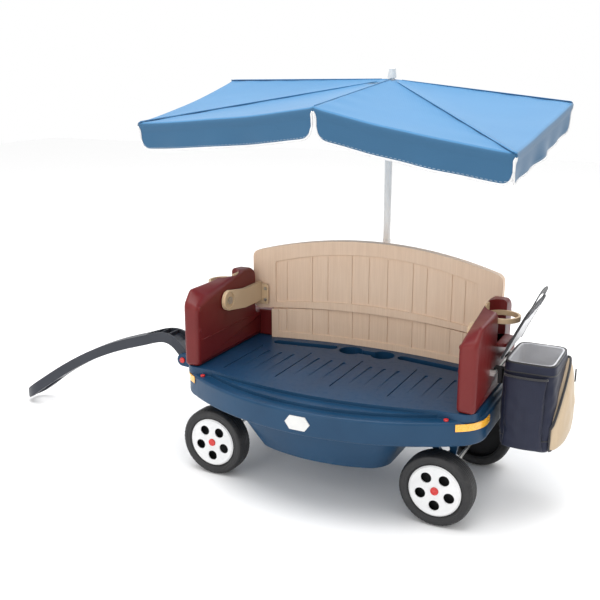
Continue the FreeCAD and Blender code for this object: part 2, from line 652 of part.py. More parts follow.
def handle_side():
    """Side outline of the handle: its centre line offset up and down, with round ends."""
    line = Part.BSplineCurve()
    line.interpolate([V(x, 0, z) for x, z in HANDLE_LINE])
    count = 24
    upper, lower = [], []
    for i in range(count + 1):
        u = line.FirstParameter + (line.LastParameter - line.FirstParameter) * i / count
        point, tangent = line.value(u), line.tangent(u)[0]
        normal = V(-tangent.z, 0, tangent.x) * HANDLE_HALF_THICK
        upper.append(point - normal)
        lower.append(point + normal)
    edges = []
    for side in (upper, lower):
        curve = Part.BSplineCurve()
        curve.interpolate(side)
        edges.append(curve.toShape())
    tip_dir = line.tangent(line.LastParameter)[0] * HANDLE_HALF_THICK
    root_dir = line.tangent(line.FirstParameter)[0] * -HANDLE_HALF_THICK
    edges.append(arc(upper[-1], V(HANDLE_LINE[-1][0], 0, HANDLE_LINE[-1][1]) + tip_dir, lower[-1]))
    edges.append(arc(upper[0], V(HITCH_X, 0, HITCH_Z) + root_dir, lower[0]))
    return Part.Face(Part.Wire(Part.__sortEdges__(edges)))


def handle_plan():
    """Top outline of the handle: wide yoke, slim arm and a D-shaped grip end."""
    z = -50.0
    root_x = HITCH_X + HANDLE_HALF_THICK + 5
    neck_x = HITCH_X - 150.0
    loop_x = (LOOP_START_X + HANDLE_TIP_X) / 2
    half = []
    half.append(Part.LineSegment(V(root_x, YOKE_HALF_WIDTH, z), V(HITCH_X - 50, YOKE_HALF_WIDTH, z)))
    curve = Part.BSplineCurve()
    curve.interpolate([V(HITCH_X - 50, YOKE_HALF_WIDTH, z), V(neck_x, HANDLE_HALF_WIDTH, z),
                       V((neck_x + LOOP_START_X) / 2, HANDLE_HALF_WIDTH - 3, z),
                       V(LOOP_START_X, HANDLE_HALF_WIDTH, z), V(loop_x, LOOP_HALF_WIDTH, z)])
    half.append(curve)
    tip = V(HANDLE_TIP_X, 0, z)
    side = V(HANDLE_TIP_X + 26, LOOP_HALF_WIDTH * 0.72, z)
    edges = [e.toShape() for e in half]
    edges.append(arc(V(loop_x, LOOP_HALF_WIDTH, z), side, tip))
    flipped = [mirrored_y(e) for e in edges]
    closing = Part.LineSegment(V(root_x, YOKE_HALF_WIDTH, z), V(root_x, -YOKE_HALF_WIDTH, z)).toShape()
    return Part.Face(Part.Wire(Part.__sortEdges__(edges + flipped + [closing])))


def make_handle():
    width = 2 * (LOOP_HALF_WIDTH + 5)
    side = handle_side()
    side.translate(V(0, -width / 2, 0))
    bar = side.extrude(V(0, width, 0)).common(handle_plan().extrude(V(0, 0, 600)))
    opening = slot_solid(V(LOOP_START_X - 42, 0, 0), V(HANDLE_TIP_X + 58, 0, 0),
                         2 * (LOOP_HALF_WIDTH - LOOP_WALL), -60, 300)
    bar = bar.cut(opening)
    return cut_channel(bar)


def cut_channel(bar):
    """Open the top of the yoke end as a ribbed channel and bore it for the hitch pin."""
    inner = YOKE_HALF_WIDTH - CHANNEL_WALL
    root_x = HITCH_X - 22.0
    trough = polygon_prism([(root_x, -inner, 600), (CHANNEL_END_X, -(HANDLE_HALF_WIDTH - CHANNEL_WALL), 600),
                            (CHANNEL_END_X, HANDLE_HALF_WIDTH - CHANNEL_WALL, 600), (root_x, inner, 600)],
                           V(0, 0, -600))
    side = handle_side()
    side.translate(V(0, -YOKE_HALF_WIDTH - 5, 0))
    core = side.extrude(V(0, 2 * (YOKE_HALF_WIDTH + 5), 0))
    core.translate(V(0, 0, 2 * HANDLE_HALF_THICK - CHANNEL_DEPTH + 4))
    trough = trough.common(core)
    ribs = [box(x, x + CHANNEL_RIB, -100, 100, 0, 600)
            for x in (CHANNEL_END_X + 30, CHANNEL_END_X + 62, CHANNEL_END_X + 94)]
    bar = bar.cut(trough.cut(ribs))
    reach = YOKE_HALF_WIDTH + 1
    return bar.cut(rod(HITCH_PIN_R + RUN_GAP, V(HITCH_X, -reach, HITCH_Z), V(HITCH_X, reach, HITCH_Z)))


def make_hitch_pin():
    reach = EAR_IN_Y + EAR_THICK
    return rod(HITCH_PIN_R, V(HITCH_X, -reach, HITCH_Z), V(HITCH_X, reach, HITCH_Z))


def make_hitch_caps():
    reach = EAR_IN_Y + EAR_THICK
    caps = []
    for sign in (-1, 1):
        caps.append(rod(9.0, V(HITCH_X, sign * reach, HITCH_Z), V(HITCH_X, sign * (reach + 5), HITCH_Z)))
    caps = [c.makeFillet(2.0, [e for e in c.Edges if abs(abs(e.BoundBox.YMin) - reach - 5) < 0.01
                               and e.BoundBox.YLength < 0.01]) for c in caps]
    return Part.makeCompound(caps)


# ---- wheels --------------------------------------------------------------------------------
def wheel_centre(sx, sy):
    return V(sx * WHEEL_BASE / 2, sy * (TRACK_OUTER - WHEEL_WIDTH) / 2, WHEEL_R)


def spun(points, rounds):
    """Solid of revolution about Y from (radius, y) points; rounds are fillets on circles."""
    wire = Part.makePolygon([V(r, y, 0) for r, y in points] + [V(points[0][0], points[0][1], 0)])
    solid = Part.Face(wire).revolve(V(0, 0, 0), AXIS_Y, 360)
    for radius, size in rounds:
        edges = [e for e in solid.Edges if isinstance(e.Curve, Part.Circle)
                 and abs(e.Curve.Radius - radius) < 0.01 and e.Length > 10]
        solid = solid.makeFillet(size, edges)
    return solid


def make_tyre():
    """Tyre with a hollow inside, ribbed tread; outer face towards -Y."""
    half = WHEEL_WIDTH / 2
    tyre = spun([(RIM_R, -half + 4), (WHEEL_R - 12, -half), (WHEEL_R, -half), (WHEEL_R, half),
                 (WHEEL_R - 12, half), (RIM_R, half - 4)], [(WHEEL_R, 9.0)])
    for y in (-12.0, 0.0, 12.0):
        groove = tube(WHEEL_R + 1, WHEEL_R - TREAD_GROOVE, V(0, y - 1.2, 0), V(0, y + 1.2, 0))
        tyre = tyre.cut(groove)
    hollow = tube(WHEEL_R - 9, RIM_R + 4, V(0, -half + 10, 0), V(0, half - 10, 0))
    return tyre.cut(hollow)


def make_core():
    """Wheel core inside the tyre: a web with a long hub boss."""
    half = WHEEL_WIDTH / 2
    rim = tube(RIM_R, RIM_R - 5, V(0, -half + 4, 0), V(0, half - 4, 0))
    web = rod(RIM_R - 4, V(0, -3, 0), V(0, 3, 0))
    boss = rod(HUB_BOSS_R, V(0, -half + 12, 0), V(0, half, 0))
    core = rim.fuse([web, boss]).removeSplitter()
    return core.cut(rod(AXLE_R + RUN_GAP, V(0, -half - 1, 0), V(0, half + 1, 0)))


def make_hubcap():
    """White cover pressed into the outer side of the wheel, with round holes."""
    half = WHEEL_WIDTH / 2
    face = -half + 4
    crown = face - 1.0
    cap = spun([(RED_CAP_R - 1, crown + 3), (RED_CAP_R - 1, crown), (HUBCAP_R - 14, crown),
                (HUBCAP_R - 5, face - 3), (HUBCAP_R - 1, face), (HUBCAP_R - 1, face + HUBCAP_DISH),
                (HUBCAP_R - 4, face + HUBCAP_DISH), (HUBCAP_R - 6, face + HUBCAP_THICK),
                (HUBCAP_R - 14, crown + HUBCAP_THICK)], [])
    for i in range(HUBCAP_HOLES):
        angle = math.radians(-90 + 360.0 * i / HUBCAP_HOLES)
        x = HUBCAP_HOLE_PITCH_R * math.cos(angle)
        z = HUBCAP_HOLE_PITCH_R * math.sin(angle)
        cap = cap.cut(rod(HUBCAP_HOLE_R, V(x, -half - 5, z), V(x, 0, z)))
    return cap


def make_red_cap():
    half = WHEEL_WIDTH / 2
    crown = -half + 3
    dome = rod(RED_CAP_R, V(0, crown - 4, 0), V(0, crown, 0))
    dome = dome.makeFillet(2.5, [e for e in dome.Edges if abs(e.BoundBox.YMax - crown + 4) < 0.01])
    return dome.fuse(rod(RED_CAP_R - 1, V(0, crown, 0), V(0, crown + 3, 0)))


def make_axles():
    tip = TRACK_OUTER / 2 - 3 - 4 - AXLE_END_GAP
    half_base = WHEEL_BASE / 2
    return Part.makeCompound([rod(AXLE_R, V(x, -tip, WHEEL_R), V(x, tip, WHEEL_R))
                              for x in (-half_base, half_base)])


def make_brackets():
    """Four lugs under the body that hold the axles."""
    lugs = []
    for sx, sign in ((-1, -1), (-1, 1), (1, -1), (1, 1)):
        x = sx * WHEEL_BASE / 2
        y0 = sign * BRACKET_Y - BRACKET_THICK / 2
        half_top = BRACKET_TOP_WIDTH / 2
        lug = polygon_prism([(x - half_top, y0, SKIRT_Z), (x + half_top, y0, SKIRT_Z),
                             (x + BRACKET_R, y0, WHEEL_R), (x - BRACKET_R, y0, WHEEL_R)],
                            V(0, BRACKET_THICK, 0))
        lug = lug.fuse(rod(BRACKET_R, V(x, y0, WHEEL_R), V(x, y0 + BRACKET_THICK, WHEEL_R)))
        window = rod(BRACKET_R, V(x, y0 - 1, SKIRT_Z - 42), V(x, y0 + BRACKET_THICK + 1, SKIRT_Z - 42))
        bore = rod(AXLE_R + RUN_GAP, V(x, y0 - 1, WHEEL_R), V(x, y0 + BRACKET_THICK + 1, WHEEL_R))
        lugs.append(lug.cut([window, bore]))
    return Part.makeCompound(lugs)


# ---- trim ----------------------------------------------------------------------------------
def make_reflectors():
    low, high = REFLECTOR_Z
    outer = Part.Face(rim_outline(-REFLECTOR_THICK, low)).extrude(V(0, 0, high - low))
    inner = Part.Face(rim_outline(0, low)).extrude(V(0, 0, high - low))
    band = outer.cut(inner)
    pieces = []
    for sx in (-1, 1):
        for sy in (-1, 1):
            x0, x1 = sorted((sx * REFLECTOR_X, sx * 500))
            y0, y1 = sorted((sy * 128.0, sy * 400))
            pieces.append(band.common(box(x0, x1, y0, y1, low, high)))
    return Part.makeCompound(pieces)


def make_badge():
    """Blank six-sided plate on the middle of the open side."""
    rise = RIM_MID_Y - RIM_BOW_Y
    radius = (RIM_BOW_X ** 2 + rise ** 2) / (2 * rise)
    centre = V(0, radius - RIM_MID_Y, 0)
    ring = tube(radius + BADGE_THICK, radius, centre + V(0, 0, BADGE_Z - BADGE_HALF_Z),
                centre + V(0, 0, BADGE_Z + BADGE_HALF_Z))
    tip = BADGE_HALF_X
    side = BADGE_HALF_X - 14
    outline = [(-tip, -400, BADGE_Z), (-side, -400, BADGE_Z - BADGE_HALF_Z),
               (side, -400, BADGE_Z - BADGE_HALF_Z), (tip, -400, BADGE_Z),
               (side, -400, BADGE_Z + BADGE_HALF_Z), (-side, -400, BADGE_Z + BADGE_HALF_Z)]
    return ring.common(polygon_prism(outline, V(0, 200, 0)))


def make_plugs():
    heads = []
    for sx in (-1, 1):
        for sy in (-1, 1):
            foot = V(sx * PLUG_X, sy * PLUG_Y, RIM_Z)
            head = rod(PLUG_R, foot, foot + V(0, 0, 5))
            heads.append(head.makeFillet(2.0, [e for e in head.Edges if e.BoundBox.ZMin > RIM_Z + 4]))
    return Part.makeCompound(heads)


# ---- umbrella ------------------------------------------------------------------------------
TILT = V(0, POLE_Y, TILT_Z)
LEAN = V(math.sin(math.radians(LEAN_DEG)) * math.sin(math.radians(LEAN_TURN_DEG)),
         -math.sin(math.radians(LEAN_DEG)) * math.cos(math.radians(LEAN_TURN_DEG)),
         math.cos(math.radians(LEAN_DEG)))
TILT_AXIS = V(math.cos(math.radians(LEAN_TURN_DEG)), math.sin(math.radians(LEAN_TURN_DEG)), 0)


def on_stub(distance):
    """Point on the leaning canopy axis, measured from the tilt pivot."""
    return TILT + LEAN * distance


def make_pole_socket():
    foot = V(0, POLE_Y, DECK_Z)
    collar = tube(SLEEVE_R + 8, SLEEVE_R + RUN_GAP, foot, foot + V(0, 0, 26))
    return collar.makeFillet(3.0, [e for e in collar.Edges if e.BoundBox.ZMin > DECK_Z + 25
                                   and e.BoundBox.XLength > 2 * SLEEVE_R + 10])


def make_pole_sleeve():
    return tube(SLEEVE_R, POLE_R + RUN_GAP, V(0, POLE_Y, POLE_FOOT_Z), V(0, POLE_Y, SLEEVE_TOP_Z))


def make_pole():
    foot_z = SLEEVE_TOP_Z - POLE_OVERLAP
    return tube(POLE_R, POLE_R - POLE_WALL, V(0, POLE_Y, foot_z), V(0, POLE_Y, TILT_Z - 30))


def make_tilt_fork():
    """Plug in the pole's top with two cheeks that hold the tilt pin."""
    base = rod(POLE_R + 2, V(0, POLE_Y, TILT_Z - 30), V(0, POLE_Y, TILT_Z - 13))
    plug = rod(POLE_R - POLE_WALL - 0.05, V(0, POLE_Y, TILT_Z - 60), V(0, POLE_Y, TILT_Z - 30))
    cheeks = []
    for sign in (-1, 1):
        start = TILT + TILT_AXIS * (sign * 6.0)
        end = TILT + TILT_AXIS * (sign * 12.0)
        cheek = rod(10.0, start, end)
        drop = rod(10.0, start - V(0, 0, 7), end - V(0, 0, 7))
        cheeks.extend([cheek, drop])
    fork = base.fuse([plug] + cheeks).removeSplitter()
    bore = rod(3.0 + RUN_GAP, TILT - TILT_AXIS * 14, TILT + TILT_AXIS * 14)
    return fork.cut(bore)


def make_tilt_pin():
    return rod(3.0, TILT - TILT_AXIS * 13, TILT + TILT_AXIS * 13)


def make_stub():
    """Leaning top tube of the umbrella, with the tongue that turns in the fork."""
    tongue = rod(9.5, TILT - TILT_AXIS * 5.6, TILT + TILT_AXIS * 5.6)
    neck = rod(5.4, on_stub(0), on_stub(20))
    tube_ = rod(POLE_R, on_stub(16), on_stub(STUB_LENGTH))
    bore = rod(3.0 + RUN_GAP, TILT - TILT_AXIS * 14, TILT + TILT_AXIS * 14)
    hollow = rod(POLE_R - POLE_WALL, on_stub(22), on_stub(STUB_LENGTH + 1))
    return tube_.cut(hollow).fuse([tongue, neck]).cut(bore)


def make_hub():
    return tube(HUB_R, POLE_R + 0.1, on_stub(HUB_S - 6), on_stub(HUB_S + 6))


def make_runner():
    grip = tube(17.0, POLE_R + 0.1, on_stub(RUNNER_S - 16), on_stub(RUNNER_S + 6))
    return grip.fuse(tube(20.0, POLE_R + 0.1, on_stub(RUNNER_S - 2), on_stub(RUNNER_S + 6)))


def rib_line(corner):
    """Start and end of a rib, just under the seam to a canopy corner."""
    hub = on_stub(HUB_S)
    tip = V(*corner) - V(0, 0, COVER_THICK + 7)
    way = (tip - hub).normalize()
    return hub + way * (HUB_R + 2), tip - way * 18


def make_ribs():
    ribs = []
    for corner in CANOPY_CORNERS:
        start, end = rib_line(corner)
        ribs.append(rod(RIB_R, start, end))
    return Part.makeCompound(ribs)


def make_stretchers():
    bars = []
    for corner in CANOPY_CORNERS:
        start, end = rib_line(corner)
        target = start + (end - start) * 0.40 - V(0, 0, RIB_R + STRETCHER_R + 0.6)
        foot = on_stub(RUNNER_S)
        way = (target - foot).normalize()
        bars.append(rod(STRETCHER_R, foot + way * 24, target))
    return Part.makeCompound(bars)


def make_rib_tips():
    tips = []
    for corner in CANOPY_CORNERS:
        start, end = rib_line(corner)
        way = (end - start).normalize()
        tips.append(rod(RIB_R + 1.2, end, end + way * 7))
    return Part.makeCompound(tips)


def make_gores():
    """Six panels of the cover; neighbours share the upright plane through their seam."""
    apex = on_stub(APEX_S)
    drop = V(0, 0, COVER_THICK)
    hole = rod(8.2, on_stub(APEX_S - 20), on_stub(APEX_S + 20))
    panels = []
    count = len(CANOPY_CORNERS)
    for i in range(count):
        a = V(*CANOPY_CORNERS[i])
        b = V(*CANOPY_CORNERS[(i + 1) % count])
        panels.append(hull_solid([apex, a, b], [apex - drop, a - drop, b - drop]).cut(hole))
    return Part.makeCompound(panels)


def make_valance():
    """Six hanging flaps with round lower corners and a notch at each rib."""
    flaps = []
    count = len(CANOPY_CORNERS)
    notch = 5.0
    for i in range(count):
        a = V(*CANOPY_CORNERS[i]) - V(0, 0, COVER_THICK)
        b = V(*CANOPY_CORNERS[(i + 1) % count]) - V(0, 0, COVER_THICK)
        way = (b - a).normalize()
        a, b = a + way * notch, b - way * notch
        fall = V(0, 0, VALANCE_DROP - COVER_THICK)
        plan = V(way.x, way.y, 0).normalize()
        inward = V(-plan.y, plan.x, 0) * COVER_THICK
        face = polygon_face([a, b, b - fall, a - fall])
        flap = face.extrude(inward)
        low = [e for e in flap.Edges if abs(e.Length - COVER_THICK) < 0.01
               and e.BoundBox.ZMin < min(a.z, b.z) - 30]
        flaps.append(flap.makeFillet(26.0, low))
    return Part.makeCompound(flaps)


def make_finial():
    stem = rod(7.8, on_stub(STUB_LENGTH), on_stub(APEX_S + 6))
    cap = Part.makeCone(13.0, 9.0, 26, on_stub(APEX_S + 5), LEAN)
    return stem.fuse(cap)


# ---- cooler bag ----------------------------------------------------------------------------
def bag_block(inset, foot_z, top_z, corner):
    block = box(BAG_BACK_X + inset, BAG_FRONT_X - inset, -BAG_HALF_Y + inset, BAG_HALF_Y - inset,
                foot_z, top_z)
    return fillet_edges(block, corner, is_upright)


def make_bag():
    outer = bag_block(0, BAG_FOOT_Z, BAG_TOP_Z, 24.0)
    return outer.cut(bag_block(BAG_WALL, BAG_FOOT_Z + BAG_WALL, BAG_TOP_Z + 1, 24.0 - BAG_WALL))


def make_liner():
    gap = BAG_WALL + SEAT_GAP
    inset = gap + LINER_WALL
    outer = bag_block(gap, BAG_FOOT_Z + gap, BAG_TOP_Z, 24.0 - gap)
    return outer.cut(bag_block(inset, BAG_FOOT_Z + inset, BAG_TOP_Z + 1, 24.0 - inset))


LID_HINGE = V(BAG_BACK_X + 2, 0, BAG_TOP_Z + LID_THICK / 2 + 2.0)


def opened(shape):
    """Turn a piece of the lid from shut to the open rest position."""
    return shape.rotate(LID_HINGE, AXIS_Y, -LID_OPEN_DEG)


def make_lid():
    z0 = LID_HINGE.z - LID_THICK / 2
    lid = box(LID_HINGE.x + 3, BAG_FRONT_X + 3, -BAG_HALF_Y, BAG_HALF_Y, z0, z0 + LID_THICK)
    return opened(fillet_edges(lid, 22.0, lambda e: is_upright(e) and e.BoundBox.XMin > LID_HINGE.x + 50))


def make_lid_loop():
    """Webbing carry loop on the free end of the lid."""
    z0 = LID_HINGE.z - 2
    x0 = BAG_FRONT_X + 3
    outer = slot_solid(V(x0 - 2, -45, 0), V(x0 - 2, 45, 0), 2 * LID_LOOP_REACH, z0, z0 + 4)
    inner = slot_solid(V(x0 - 2, -45, 0), V(x0 - 2, 45, 0), 2 * LID_LOOP_REACH - 22, z0 - 1, z0 + 5)
    loop = outer.cut(inner).common(box(x0 + 0.3, x0 + 200, -200, 200, 0, 1000))
    return opened(loop)


def make_side_pocket():
    """Slanted tan pocket on the bag's outer end."""
    x0 = BAG_FRONT_X + 0.2
    low, high = BAG_FOOT_Z + 12, BAG_TOP_Z - 26
    half = BAG_HALF_Y - 12
    outline = [(x0, -half, low), (x0 + POCKET_BULGE, -half, low + 30), (x0 + POCKET_BULGE - 6, -half, high - 60),
               (x0 + 5, -half, high), (x0, -half, high)]
    pocket = polygon_prism(outline, V(0, 2 * half, 0))
    inside = [(x0 + 3, -half + 3, low + 8), (x0 + POCKET_BULGE - 4, -half + 3, low + 34),
              (x0 + POCKET_BULGE - 10, -half + 3, high - 60), (x0 + 3.6, -half + 3, high + 1),
              (x0 + 3, -half + 3, high + 1)]
    return pocket.cut(polygon_prism(inside, V(0, 2 * half - 6, 0)))


def make_front_pocket():
    """Slack pocket on the bag's near side."""
    y0 = -BAG_HALF_Y - 0.2
    low, high = BAG_FOOT_Z + 8, BAG_TOP_Z - 34
    x0, x1 = BAG_BACK_X + 14, BAG_FRONT_X - 22
    bulge = FRONT_POCKET_BULGE
    outline = [(x0, y0, low), (x0, y0 - 4, low), (x0, y0 - bulge, low + 40), (x0, y0 - bulge, high),
               (x0, y0, high)]
    pocket = polygon_prism(outline, V(x1 - x0, 0, 0))
    inside = [(x0 + 3, y0 - 3, low + 30), (x0 + 3, y0 - bulge + 3, low + 44),
              (x0 + 3, y0 - bulge + 3, high + 1), (x0 + 3, y0 - 3, high + 1)]
    return pocket.cut(polygon_prism(inside, V(x1 - x0 - 6, 0, 0)))


def make_zip_pull():
    x = BAG_FRONT_X + POCKET_BULGE - 4
    return box(x, x + 3, BAG_HALF_Y - 44, BAG_HALF_Y - 34, BAG_TOP_Z - 84, BAG_TOP_Z - 50)


def make_rail():
    """Bar across the rear end panel that the bag hangs on."""
    panel_x = PANEL_IN_X + PANEL_THICK
    x = panel_x + 11.5
    bar = rod(RAIL_R, V(x, -RAIL_HALF_Y, RAIL_Z), V(x, RAIL_HALF_Y, RAIL_Z))
    feet = []
    for sign in (-1, 1):
        y0, y1 = sorted((sign * RAIL_HALF_Y, sign * (RAIL_HALF_Y - 8)))
        feet.append(box(panel_x, x, y0, y1, RAIL_Z - 10, RAIL_Z + 6))
    return bar.fuse(feet).removeSplitter()


def make_hooks():
    """Two hooks on the back of the bag, over the rail."""
    bar_x = PANEL_IN_X + PANEL_THICK + 11.5
    inside = RAIL_R + 0.6
    hooks = []
    for sign in (-1, 1):
        y0 = sign * HOOK_HALF_Y - HOOK_WIDTH / 2
        top = RAIL_Z + inside
        profile = [(BAG_BACK_X - 0.2, y0, RAIL_Z - 34), (BAG_BACK_X - 0.2, y0, top + HOOK_THICK),
                   (bar_x - inside - HOOK_THICK, y0, top + HOOK_THICK),
                   (bar_x - inside - HOOK_THICK, y0, RAIL_Z - 8), (bar_x - inside, y0, RAIL_Z - 8),
                   (bar_x - inside, y0, top), (bar_x + inside, y0, top), (bar_x + inside, y0, RAIL_Z - 34)]
        hooks.append(polygon_prism(profile, V(0, HOOK_WIDTH, 0)))
    return Part.makeCompound(hooks)


# ---- assembly ------------------------------------------------------------------------------
def make_wheels(nodes):
    templates = {"tyre": make_tyre(), "wheel_core": make_core(), "hubcap": make_hubcap(),
                 "axle_cap": make_red_cap()}
    corners = {"front_near": (-1, -1), "rear_near": (1, -1), "front_far": (-1, 1), "rear_far": (1, 1)}
    for place, (sx, sy) in corners.items():
        for name, template in templates.items():
            piece = template.copy() if sy < 0 else mirrored_y(template)
            piece.translate(wheel_centre(sx, sy))
            nodes[name + "_" + place] = piece


def make_nodes():
    nodes = {}
    nodes["wagon_body"] = make_body()
    rear_panel = make_end_panel()
    nodes["end_panel_rear"] = rear_panel
    nodes["end_panel_front"] = mirrored_x(rear_panel)
    ring = make_cup_ring()
    nodes["cup_ring_rear"] = ring
    nodes["cup_ring_front"] = mirrored_x(ring)
    nodes["back_panel_lower"] = make_lower_back()
    nodes["back_panel_upper"] = make_upper_back()
    arm = make_swing_arm()
    nodes["swing_arm_rear"] = arm
    nodes["swing_arm_front"] = mirrored_x(arm)
    screw = make_pivot_screw()
    nodes["pivot_screw_rear"] = screw
    nodes["pivot_screw_front"] = mirrored_x(screw)
    nodes["plate_screws"] = make_plate_screws()
    nodes["pull_handle"] = make_handle()
    nodes["hitch_pin"] = make_hitch_pin()
    nodes["hitch_pin_caps"] = make_hitch_caps()
    make_wheels(nodes)
    nodes["axles"] = make_axles()
    nodes["axle_brackets"] = make_brackets()
    nodes["reflectors"] = make_reflectors()
    nodes["badge"] = make_badge()
    nodes["deck_plugs"] = make_plugs()
    nodes["pole_socket"] = make_pole_socket()
    nodes["pole_sleeve"] = make_pole_sleeve()
    nodes["umbrella_pole"] = make_pole()
    nodes["tilt_fork"] = make_tilt_fork()
    nodes["tilt_pin"] = make_tilt_pin()
    nodes["canopy_stub"] = make_stub()
    nodes["rib_hub"] = make_hub()
    nodes["runner"] = make_runner()
    nodes["ribs"] = make_ribs()
    nodes["stretchers"] = make_stretchers()
    nodes["rib_tips"] = make_rib_tips()
    nodes["canopy_cover"] = make_gores()
    nodes["canopy_valance"] = make_valance()
    nodes["finial"] = make_finial()
    nodes["cooler_rail"] = make_rail()
    nodes["cooler_bag"] = make_bag()
    nodes["cooler_liner"] = make_liner()
    nodes["cooler_lid"] = make_lid()
    nodes["lid_loop"] = make_lid_loop()
    nodes["side_pocket"] = make_side_pocket()
    nodes["front_pocket"] = make_front_pocket()
    nodes["zip_pull"] = make_zip_pull()
    nodes["bag_hooks"] = make_hooks()
    return nodes


def frame_shift(nodes):
    """Move that puts the origin under the centre of the whole assembly's box."""
    whole = Part.makeCompound(list(nodes.values())).optimalBoundingBox(True, False)
    return V(-whole.Center.x, -whole.Center.y, -whole.ZMin)


NODES = make_nodes()
SHIFT = frame_shift(NODES)
os.makedirs("parts", exist_ok=True)
for node_name, node_shape in NODES.items():
    node_shape.translate(SHIFT)
    node_shape.exportStep("parts/" + node_name + ".step")
    print(node_name, "solids", len(node_shape.Solids), "volume_cm3", round(node_shape.Volume / 1000, 1),
          "valid", node_shape.isValid())
print("shift", SHIFT)
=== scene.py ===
"""Looks of a child's pull wagon with a backrest, a sun umbrella and a hang-on cooler bag.

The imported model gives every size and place, in metres: +X is the end with the cooler bag, -X the
end with the handle, +Y the side of the backrest.  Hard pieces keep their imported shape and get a
finish, or are made again with softer edges.  Cloth and padding are made here as surfaces.
"""

import logging
import math
from dataclasses import dataclass
from enum import Enum
from typing import Optional, Sequence

import bpy
import bmesh
import numpy as np
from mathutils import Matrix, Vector


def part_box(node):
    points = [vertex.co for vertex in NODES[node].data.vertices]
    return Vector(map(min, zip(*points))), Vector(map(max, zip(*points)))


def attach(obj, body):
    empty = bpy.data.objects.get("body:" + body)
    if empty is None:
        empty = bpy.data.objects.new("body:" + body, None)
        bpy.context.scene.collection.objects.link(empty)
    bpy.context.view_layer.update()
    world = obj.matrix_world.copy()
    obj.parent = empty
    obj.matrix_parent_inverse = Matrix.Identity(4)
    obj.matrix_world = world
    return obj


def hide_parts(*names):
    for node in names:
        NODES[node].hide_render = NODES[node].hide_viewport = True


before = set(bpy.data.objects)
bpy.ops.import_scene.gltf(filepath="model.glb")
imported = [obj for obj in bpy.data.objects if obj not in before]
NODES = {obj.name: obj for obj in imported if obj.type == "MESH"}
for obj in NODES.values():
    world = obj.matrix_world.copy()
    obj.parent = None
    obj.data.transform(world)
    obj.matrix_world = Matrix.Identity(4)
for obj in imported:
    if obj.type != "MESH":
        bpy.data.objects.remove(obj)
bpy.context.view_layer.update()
log = logging.getLogger("wagon")

Array = np.ndarray
Colour = tuple[float, float, float]


# ---- numbers shared by every class ------------------------------------------------------------
def middle(name: str) -> Array:
    """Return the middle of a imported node's box."""
    low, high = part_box(name)
    return (np.array(low) + np.array(high)) / 2


def low_high(name: str) -> tuple[Array, Array]:
    """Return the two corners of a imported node's box as arrays."""
    low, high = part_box(name)
    return np.array(low), np.array(high)


def smooth(t: Array) -> Array:
    """Return the smooth step of t: three t squared less two t cubed, between 0 and 1."""
    t = np.clip(t, 0.0, 1.0)
    return t * t * (3.0 - 2.0 * t)


def unit(v: Array) -> Array:
    """Return vectors divided by their lengths, along the last axis."""
    return v / np.maximum(np.linalg.norm(v, axis=-1, keepdims=True), 1e-12)


# ---- meshes -----------------------------------------------------------------------------------
@dataclass(frozen=True)
class Surface:
    """Points on a rows by columns grid, with what joins its sides.

    The grid's point (i, j) is one value of the surface's two parameters, so every shape here is
    a formula over whole arrays.
    """

    points: Array
    around: bool = False
    along: bool = False
    cap_start: bool = False
    cap_end: bool = False

    def quads(self) -> Array:
        """Return the corner indices of the grid's faces, one row each."""
        rows, cols = self.points.shape[:2]
        i = np.arange(rows if self.along else rows - 1)[:, None]
        j = np.arange(cols if self.around else cols - 1)[None, :]
        a, b = i * cols, ((i + 1) % rows) * cols
        k = (j + 1) % cols
        return np.stack([a + j, a + k, b + k, b + j], axis=-1).reshape(-1, 4)

    def polygons(self) -> list[list[int]]:
        """Return all faces: the grid's and the caps over its first and last rows."""
        rows, cols = self.points.shape[:2]
        faces = self.quads().tolist()
        if self.cap_start:
            faces.append(list(range(cols - 1, -1, -1)))
        if self.cap_end:
            faces.append([(rows - 1) * cols + j for j in range(cols)])
        return faces


def make_piece(name: str, surfaces: Sequence[Surface], uv: Optional[Array] = None,
               weld: float = 1e-5, recalc: bool = True) -> bpy.types.Object:
    """Put surfaces into one mesh object at the origin.

    Args:
        name: Name of the piece.
        surfaces: The grids that it is made of.
        uv: Cloth coordinates of every point, in metres, in the order of the points.
        weld: Points nearer than this are merged.
        recalc: Whether the faces are turned to point outwards.

    Returns:
        The new object, shaded smooth.
    """
    points, faces, start = [], [], 0
    for surface in surfaces:
        flat = surface.points.reshape(-1, 3)
        faces.extend([[start + i for i in face] for face in surface.polygons()])
        points.append(flat)
        start += len(flat)
    mesh = bpy.data.meshes.new(name)
    mesh.from_pydata(np.concatenate(points).tolist(), [], faces)
    if uv is not None:
        layer = mesh.uv_layers.new(name="cloth")
        corner = np.zeros(len(mesh.loops), np.int32)
        mesh.loops.foreach_get("vertex_index", corner)
        layer.data.foreach_set("uv", uv[corner].astype(np.float32).ravel())
    bm = bmesh.new()
    bm.from_mesh(mesh)
    bmesh.ops.remove_doubles(bm, verts=bm.verts, dist=weld)
    if recalc:
        bmesh.ops.recalc_face_normals(bm, faces=bm.faces)
    bm.to_mesh(mesh)
    bm.free()
    mesh.polygons.foreach_set("use_smooth", np.ones(len(mesh.polygons), bool))
    obj = bpy.data.objects.new(name, mesh)
    bpy.context.scene.collection.objects.link(obj)
    return obj


def path_frames(path: Array, closed: bool, up: Optional[Array] = None) -> tuple[Array, Array, Array]:
    """Return the way, side and up directions at each point of a path.

    The way is the central difference of the points.  Up is the given direction, or world up,
    made square to the way, and the side is their cross product.
    """
    if closed:
        way = unit(np.roll(path, -1, 0) - np.roll(path, 1, 0))
    else:
        way = unit(np.gradient(path, axis=0))
    start = np.array([0.0, 0.0, 1.0]) if up is None else np.asarray(up, float)
    rise = np.broadcast_to(start, path.shape)
    rise = unit(rise - way * np.sum(rise * way, axis=1, keepdims=True))
    return way, np.cross(way, rise), rise


